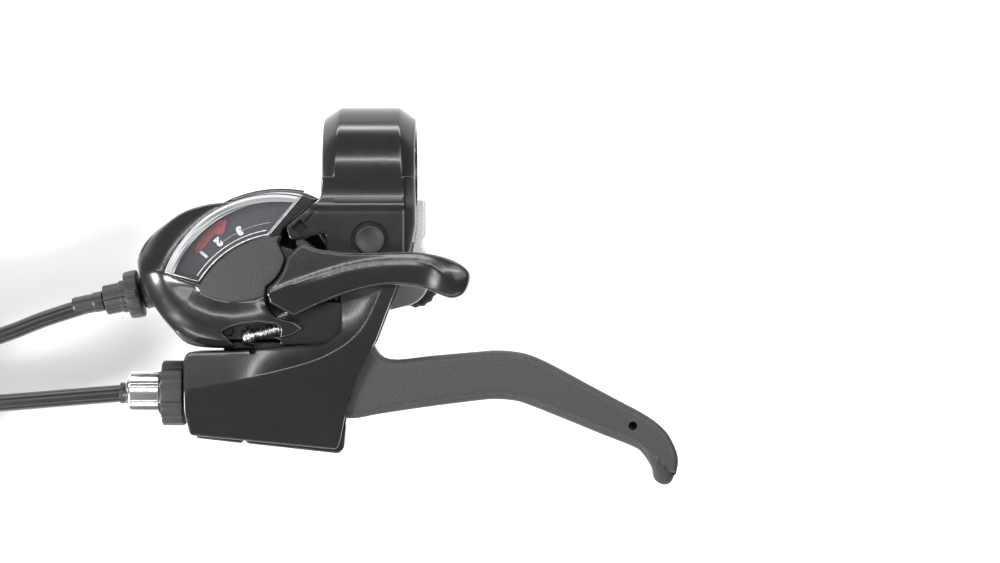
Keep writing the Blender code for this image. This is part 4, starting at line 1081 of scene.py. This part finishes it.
def make_reach_screw(bright):
    """Coarse-threaded screw with a domed cross-recess head."""
    pitch = 1.25
    turns = 18
    sides = 24
    profile = [(-2.1, 0.02), (-2.05, 1.2), (-1.7, 2.0), (-1.0, 2.45), (-0.2, 2.45), (0.0, 2.95), (0.6, 3.0)]
    profile += [(0.9, 2.9), (1.0, 2.2), (1.7, 2.1), (1.7, 1.2)]
    head = lathe(soft_profile(profile, 0.12, 2), REACH_HEAD, REACH_DIRECTION, 48)
    across = REACH_DIRECTION.cross(Vector((0, 0, 1))).normalized()
    up = Vector((0, 0, 1))
    cross = []
    for first, second in ((across, up), (up, across)):
        bm = bmesh.new()
        bmesh.ops.create_cube(bm, size=1.0)
        frame_of = Matrix((REACH_DIRECTION, first, second)).transposed().to_4x4()
        size = Matrix.Diagonal((2.4, 3.6, 0.62, 1.0))
        bm.transform(Matrix.Translation(Vector(REACH_HEAD) - REACH_DIRECTION * 1.8) @ frame_of @ size)
        cross.append(bm)
    show("reach_screw_head", carve(head, cross), bright, "reach_screw", ("reach_screw",))

    bm = bmesh.new()
    rows = []
    origin = Vector(REACH_HEAD) + REACH_DIRECTION * 1.5
    steps = turns * sides
    root = 1.55
    shape = ((0.0, root), (0.3, root), (0.55, 2.0), (0.7, 2.0), (0.95, root))
    for i in range(steps):
        angle = 2 * math.pi * i / sides
        spoke = across * math.cos(angle) + up * math.sin(angle)
        turned = i / sides
        fade = min(1.0, turned, turns - turned)
        rows.append([
            bm.verts.new(origin + REACH_DIRECTION * (turned + along) * pitch
                         + spoke * (root + (radius - root) * fade))
            for along, radius in shape
        ])
    for first, second in zip(rows, rows[1:]):
        for k in range(len(shape) - 1):
            bm.faces.new((first[k], first[k + 1], second[k + 1], second[k]))
    for i in range(steps - sides - 1):
        bm.faces.new((rows[i][-1], rows[i + sides][0], rows[i + sides + 1][0], rows[i + 1][-1]))
    bmesh.ops.recalc_face_normals(bm, faces=bm.faces)
    show("reach_screw_thread", bm, bright, "reach_screw")


# Thumb lever and clamp bolt

def make_thumb_lever(steel, rubber):
    outline = closed_curve([
        (-30.5, -46.0), (-24.5, -38.6), (-12.0, -38.8), (2.0, -37.2), (9.0, -31.4), (14.6, -29.2),
        (16.4, -34.4), (13.0, -39.0), (6.0, -41.2), (-4.0, -44.0), (-16.0, -47.2), (-24.0, -50.2),
    ], 5)
    arm = slab(outline, -13.2, -16.6, edge=0.5, low_edge=0.7, step=1.2,
               holes=[circle(DRUM_AXIS, 2.75)])
    show("thumb_arm", arm, steel, "thumb_lever", ("thumb_lever_arm",))
    sleeve = soft_profile([(-13.4, 2.75), (-13.4, 4.2), (-5.9, 4.2), (-5.9, 2.75)], 0.2)
    sleeve = lathe(sleeve, (*DRUM_AXIS, 0), segments=48, bored=True)
    show("thumb_sleeve", sleeve, steel, "thumb_lever")

    def ridged(angle, along, radius):
        return radius * (1 + 0.03 * math.cos(16 * angle)) if radius > 5.0 else radius

    profile = [(-26.0, 0.3), (-26.0, 2.4), (-25.3, 4.6), (-23.8, 6.0), (-21.8, 6.55), (-19.0, 6.5),
               (-17.4, 5.6)]
    profile += [(-16.95, 4.2), (-16.95, 0.3)]
    pad = lathe(soft_profile(profile, 0.8, 4), (12.5, -34.0, 0), (0, 0, 1), 96, shape=ridged)
    show("thumb_pad", pad, rubber, "thumb_lever", ("thumb_lever_pad",))


def make_case_screws(steel):
    """Short screws that hold the case from below, with a hexagonal socket in each head."""
    for number, place in enumerate(CASE_SCREWS, 1):
        profile = [(-11.9, 0.3), (-11.9, 1.9), (-11.4, 2.35), (-10.4, 2.35), (-10.4, 1.2), (7.2, 1.2),
                   (7.6, 0.8)]
        screw = lathe(soft_profile(profile, 0.15, 2), (*place, 0), segments=48)
        screw = carve(screw, (rod(1.1, -12.5, -11.2, (*place, 0), segments=6),))
        show(f"case_fixing_{number}", screw, steel, "unit", (f"case_screw_{number}",))


def make_clamp_bolt(steel):
    def knurled(angle, along, radius):
        if radius > 4.0 and -22.2 < along < -18.0:
            return radius - 0.06 * (1 + math.cos(36 * angle))
        return radius

    profile = [(-22.6, 0.4), (-22.6, 3.9), (-22.3, 4.2), (-22.1, 4.2), (-17.9, 4.2), (-17.6, 4.1),
               (-17.6, 2.5)]
    thread = [(-13.0 + 0.4 * i, 2.5 - 0.25 * (i % 2)) for i in range(49)]
    profile += [(-13.4, 2.5), *thread, (6.6, 2.0)]
    head = lathe(profile, (*CLAMP_BOLT, 0), segments=144, shape=knurled)
    socket = rod(2.3, -24, -19.8, (*CLAMP_BOLT, 0), segments=6)
    show("clamp_screw", carve(head, (socket,)), steel, "unit", ("clamp_bolt",))


# Housings

def coil_width(diameter):
    """How far the coil's turns take the cord sideways."""
    return COIL_TURNS * (diameter + TURN_GAP)


def bundle(radius, diameter):
    """Inner and outer radius and half width of a coil whose turns lie side by side."""
    room = diameter / 2 + 0.3
    return radius - room, radius + room, coil_width(diameter) / 2 + room


def cord_path(route, top, radius, diameter, side):
    """Along the route to the coil's top, round its turns and out to the far ferrule."""
    top = Vector(top)
    path = open_curve([*route, top], 5)[:-1]
    steps = COIL_TURNS * 40
    for i in range(steps + 1):
        angle = 2 * math.pi * COIL_TURNS * i / steps
        shift = side * coil_width(diameter) * i / steps
        path.append(top + Vector((-radius * math.sin(angle), shift, radius * (math.cos(angle) - 1))))
    end = path[-1]
    leaves = far_start(top, radius, diameter, side).x - end.x
    path += [end + Vector((leaves * (i + 1) / 4, 0, 0)) for i in range(4)]
    path.append(path[-1] - Vector((4.0, 0, 0)))
    return path


def far_start(top, radius, diameter, side):
    outer = bundle(radius, diameter)[1]
    thick = diameter / 2 + 0.35
    leaves = math.sqrt(outer**2 - (radius - thick - 0.5) ** 2)
    return Vector((top[0] - leaves, top[1] + side * coil_width(diameter), top[2]))


def make_cord(name, route, top, radius, diameter, side, nodes, materials):
    """A housing with its coil, the tie that holds the coil and the ferrule on its far end."""
    black, satin, matte, steel = materials
    path = cord_path(route, top, radius, diameter, side)
    cord = wire(name, path, diameter / 2, black, "unit", nodes, sides=6)

    start = far_start(top, radius, diameter, side)
    thick = diameter / 2 + 0.35
    profile = [(0.0, diameter / 2 + 0.02), (0.0, thick), (1.4, thick), (1.7, thick - 0.2), (7.6, thick - 0.2)]
    profile += [(8.1, diameter / 2), (8.5, 1.0)]
    cap = lathe(soft_profile(profile, 0.15, 2), start, (-1, 0, 0), 48)
    far_node = nodes[0].replace("housing", "far_ferrule")
    cap = show(name + "_end_ferrule", cap, satin, "unit", (far_node,))
    stub = [start + Vector((-x, 0, 0)) for x in (8.0, 10.0, 13.0)]
    stub = wire(name + "_wire_end", stub, 0.6, steel, "unit")

    inner, outer, half = bundle(radius, diameter)
    centre = Vector((top[0], top[1] + side * coil_width(diameter) / 2, top[2] - radius))
    strap = bmesh.new()
    slack, thickness, width = 0.7, 1.1, 6.0
    reach, low, high = half + slack, centre.z - outer - slack, centre.z - inner + slack
    loop = filleted([(-reach, low), (reach, low), (reach, high), (-reach, high)], 2.0, 6)
    loop = [tuple(p) for p in dense(loop, 1.0)]
    outward = inset(loop, -thickness)
    section = soft_profile([(0, -width / 2), (1, -width / 2), (1, width / 2), (0, width / 2)], 0.3, 3)
    rings = []
    for (iy, iz), (oy, oz) in zip(loop, outward):
        rings.append([
            strap.verts.new((centre.x + x, centre.y + iy + (oy - iy) * share, iz + (oz - iz) * share))
            for share, x in section
        ])
    bridge_rows(strap, [*rings, rings[0]])
    strap = show(name + "_strap", strap, matte, "unit", (nodes[1] + "_tie",))


def paint_node(node, material):
    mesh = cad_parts[node].data
    mesh.materials.clear()
    mesh.materials.append(material)


def main():
    make_camera()
    make_studio()
    make_floor()

    gloss = finish("gloss_black_moulding", (0.0125, 0.0125, 0.013), 0.24, grain=0.02, grain_size=0.35,
                   mottle=0.2, coat=0.3)
    satin = finish("satin_black", (0.02, 0.02, 0.021), 0.42, grain=0.15, grain_size=0.3)
    matte = finish("spark_eroded_moulding", (0.028, 0.028, 0.029), 0.6, grain=0.5, grain_size=0.28,
                   mottle=0.35)
    ring = finish("ribbed_moulding", (0.022, 0.022, 0.023), 0.5, grain=0.25, grain_size=0.3)
    paint = finish("speckled_grey_paint", (0.034, 0.034, 0.035), 0.5, grain=0.45, grain_size=0.32, mottle=0.5)
    dial = finish("dial_print", (0.026, 0.027, 0.031), 0.5, grain=0.3, grain_size=0.3, mottle=0.5)
    white = finish("white_print", (0.93, 0.93, 0.93), 0.5, grain=0.05, mottle=0.06)
    # Light grey that is a painted highlight on the window's edge wires and print on the dial line.
    grey = finish("painted_edge_highlight_and_dial_line", (0.55, 0.56, 0.57), 0.2, grain=0.05, mottle=0.3, grain_size=0.8)
    red = finish("red_pointer", (0.36, 0.055, 0.05), 0.45, grain=0.2, mottle=0.3)
    nickel = finish("nickel_plate", (0.86, 0.86, 0.85), 0.2, 1.0, grain=0.08, grain_size=0.5, mottle=0.06,
                    streak=(0.2, 1.0, 1.0))
    steel = finish("zinc_plate", (0.6, 0.61, 0.62), 0.35, 1.0, grain=0.15, grain_size=0.4, mottle=0.15)
    bright = finish("black_zinc_screw", (0.6, 0.6, 0.61), 0.28, 1.0, grain=0.1, grain_size=0.4, mottle=0.3)
    bare = finish("bare_casting", (0.62, 0.63, 0.63), 0.45, 0.9, grain=0.3, grain_size=0.5, mottle=0.12)
    brass = finish("brass", (0.7, 0.5, 0.22), 0.35, 1.0, grain=0.1, grain_size=0.4, mottle=0.1)
    acetal = finish("natural_acetal", (0.75, 0.74, 0.70), 0.5, grain=0.1, grain_size=0.5, mottle=0.05)
    black = finish("vinyl_housing", (0.014, 0.014, 0.015), 0.32, grain=0.08, grain_size=0.5, mottle=0.2)
    rubber = finish("rubber_pad", (0.02, 0.02, 0.02), 0.75, grain=0.6, grain_size=0.4)

    for node in ("main_axle", "axle_nut", "release_axle", "holding_pawl_pin", "holding_pawl", "unit_screw",
                 "chassis_plate", "release_pin", "drive_plate", "drive_pawl", "drive_pawl_pin", "pawl_spring",
                 "drum_spring", "thumb_spring", "shift_cable_head", "brake_cable_nipple", "shift_inner_wire",
                 "brake_inner_wire"):
        paint_node(node, steel)
    paint_node("lever_bush", brass)
    paint_node("cable_drum", acetal)
    paint_node("indicator_needle", satin)

    make_brake_adjuster(nickel, ring, satin)
    make_shift_adjuster(ring, satin)
    housing = (black, satin, ring, steel)
    make_cord("shift_cable_housing", SHIFT_ROUTE, SHIFT_COIL_TOP, SHIFT_COIL_RADIUS, SHIFT_HOUSING, 1,
              ("shift_housing", "shift_coil"), housing)
    make_cord("brake_cable_housing", BRAKE_ROUTE, BRAKE_COIL_TOP, BRAKE_COIL_RADIUS, BRAKE_HOUSING, -1,
              ("brake_housing", "brake_coil"), housing)

    make_bracket(gloss, bare)
    make_cover(gloss, matte, satin)
    make_window(dial, white, red, grey)
    make_release_lever(gloss, satin)
    make_brake_lever(paint)
    make_pivot_pin(satin)
    make_reach_screw(bright)
    make_thumb_lever(steel, rubber)
    make_clamp_bolt(steel)
    make_case_screws(steel)


main()
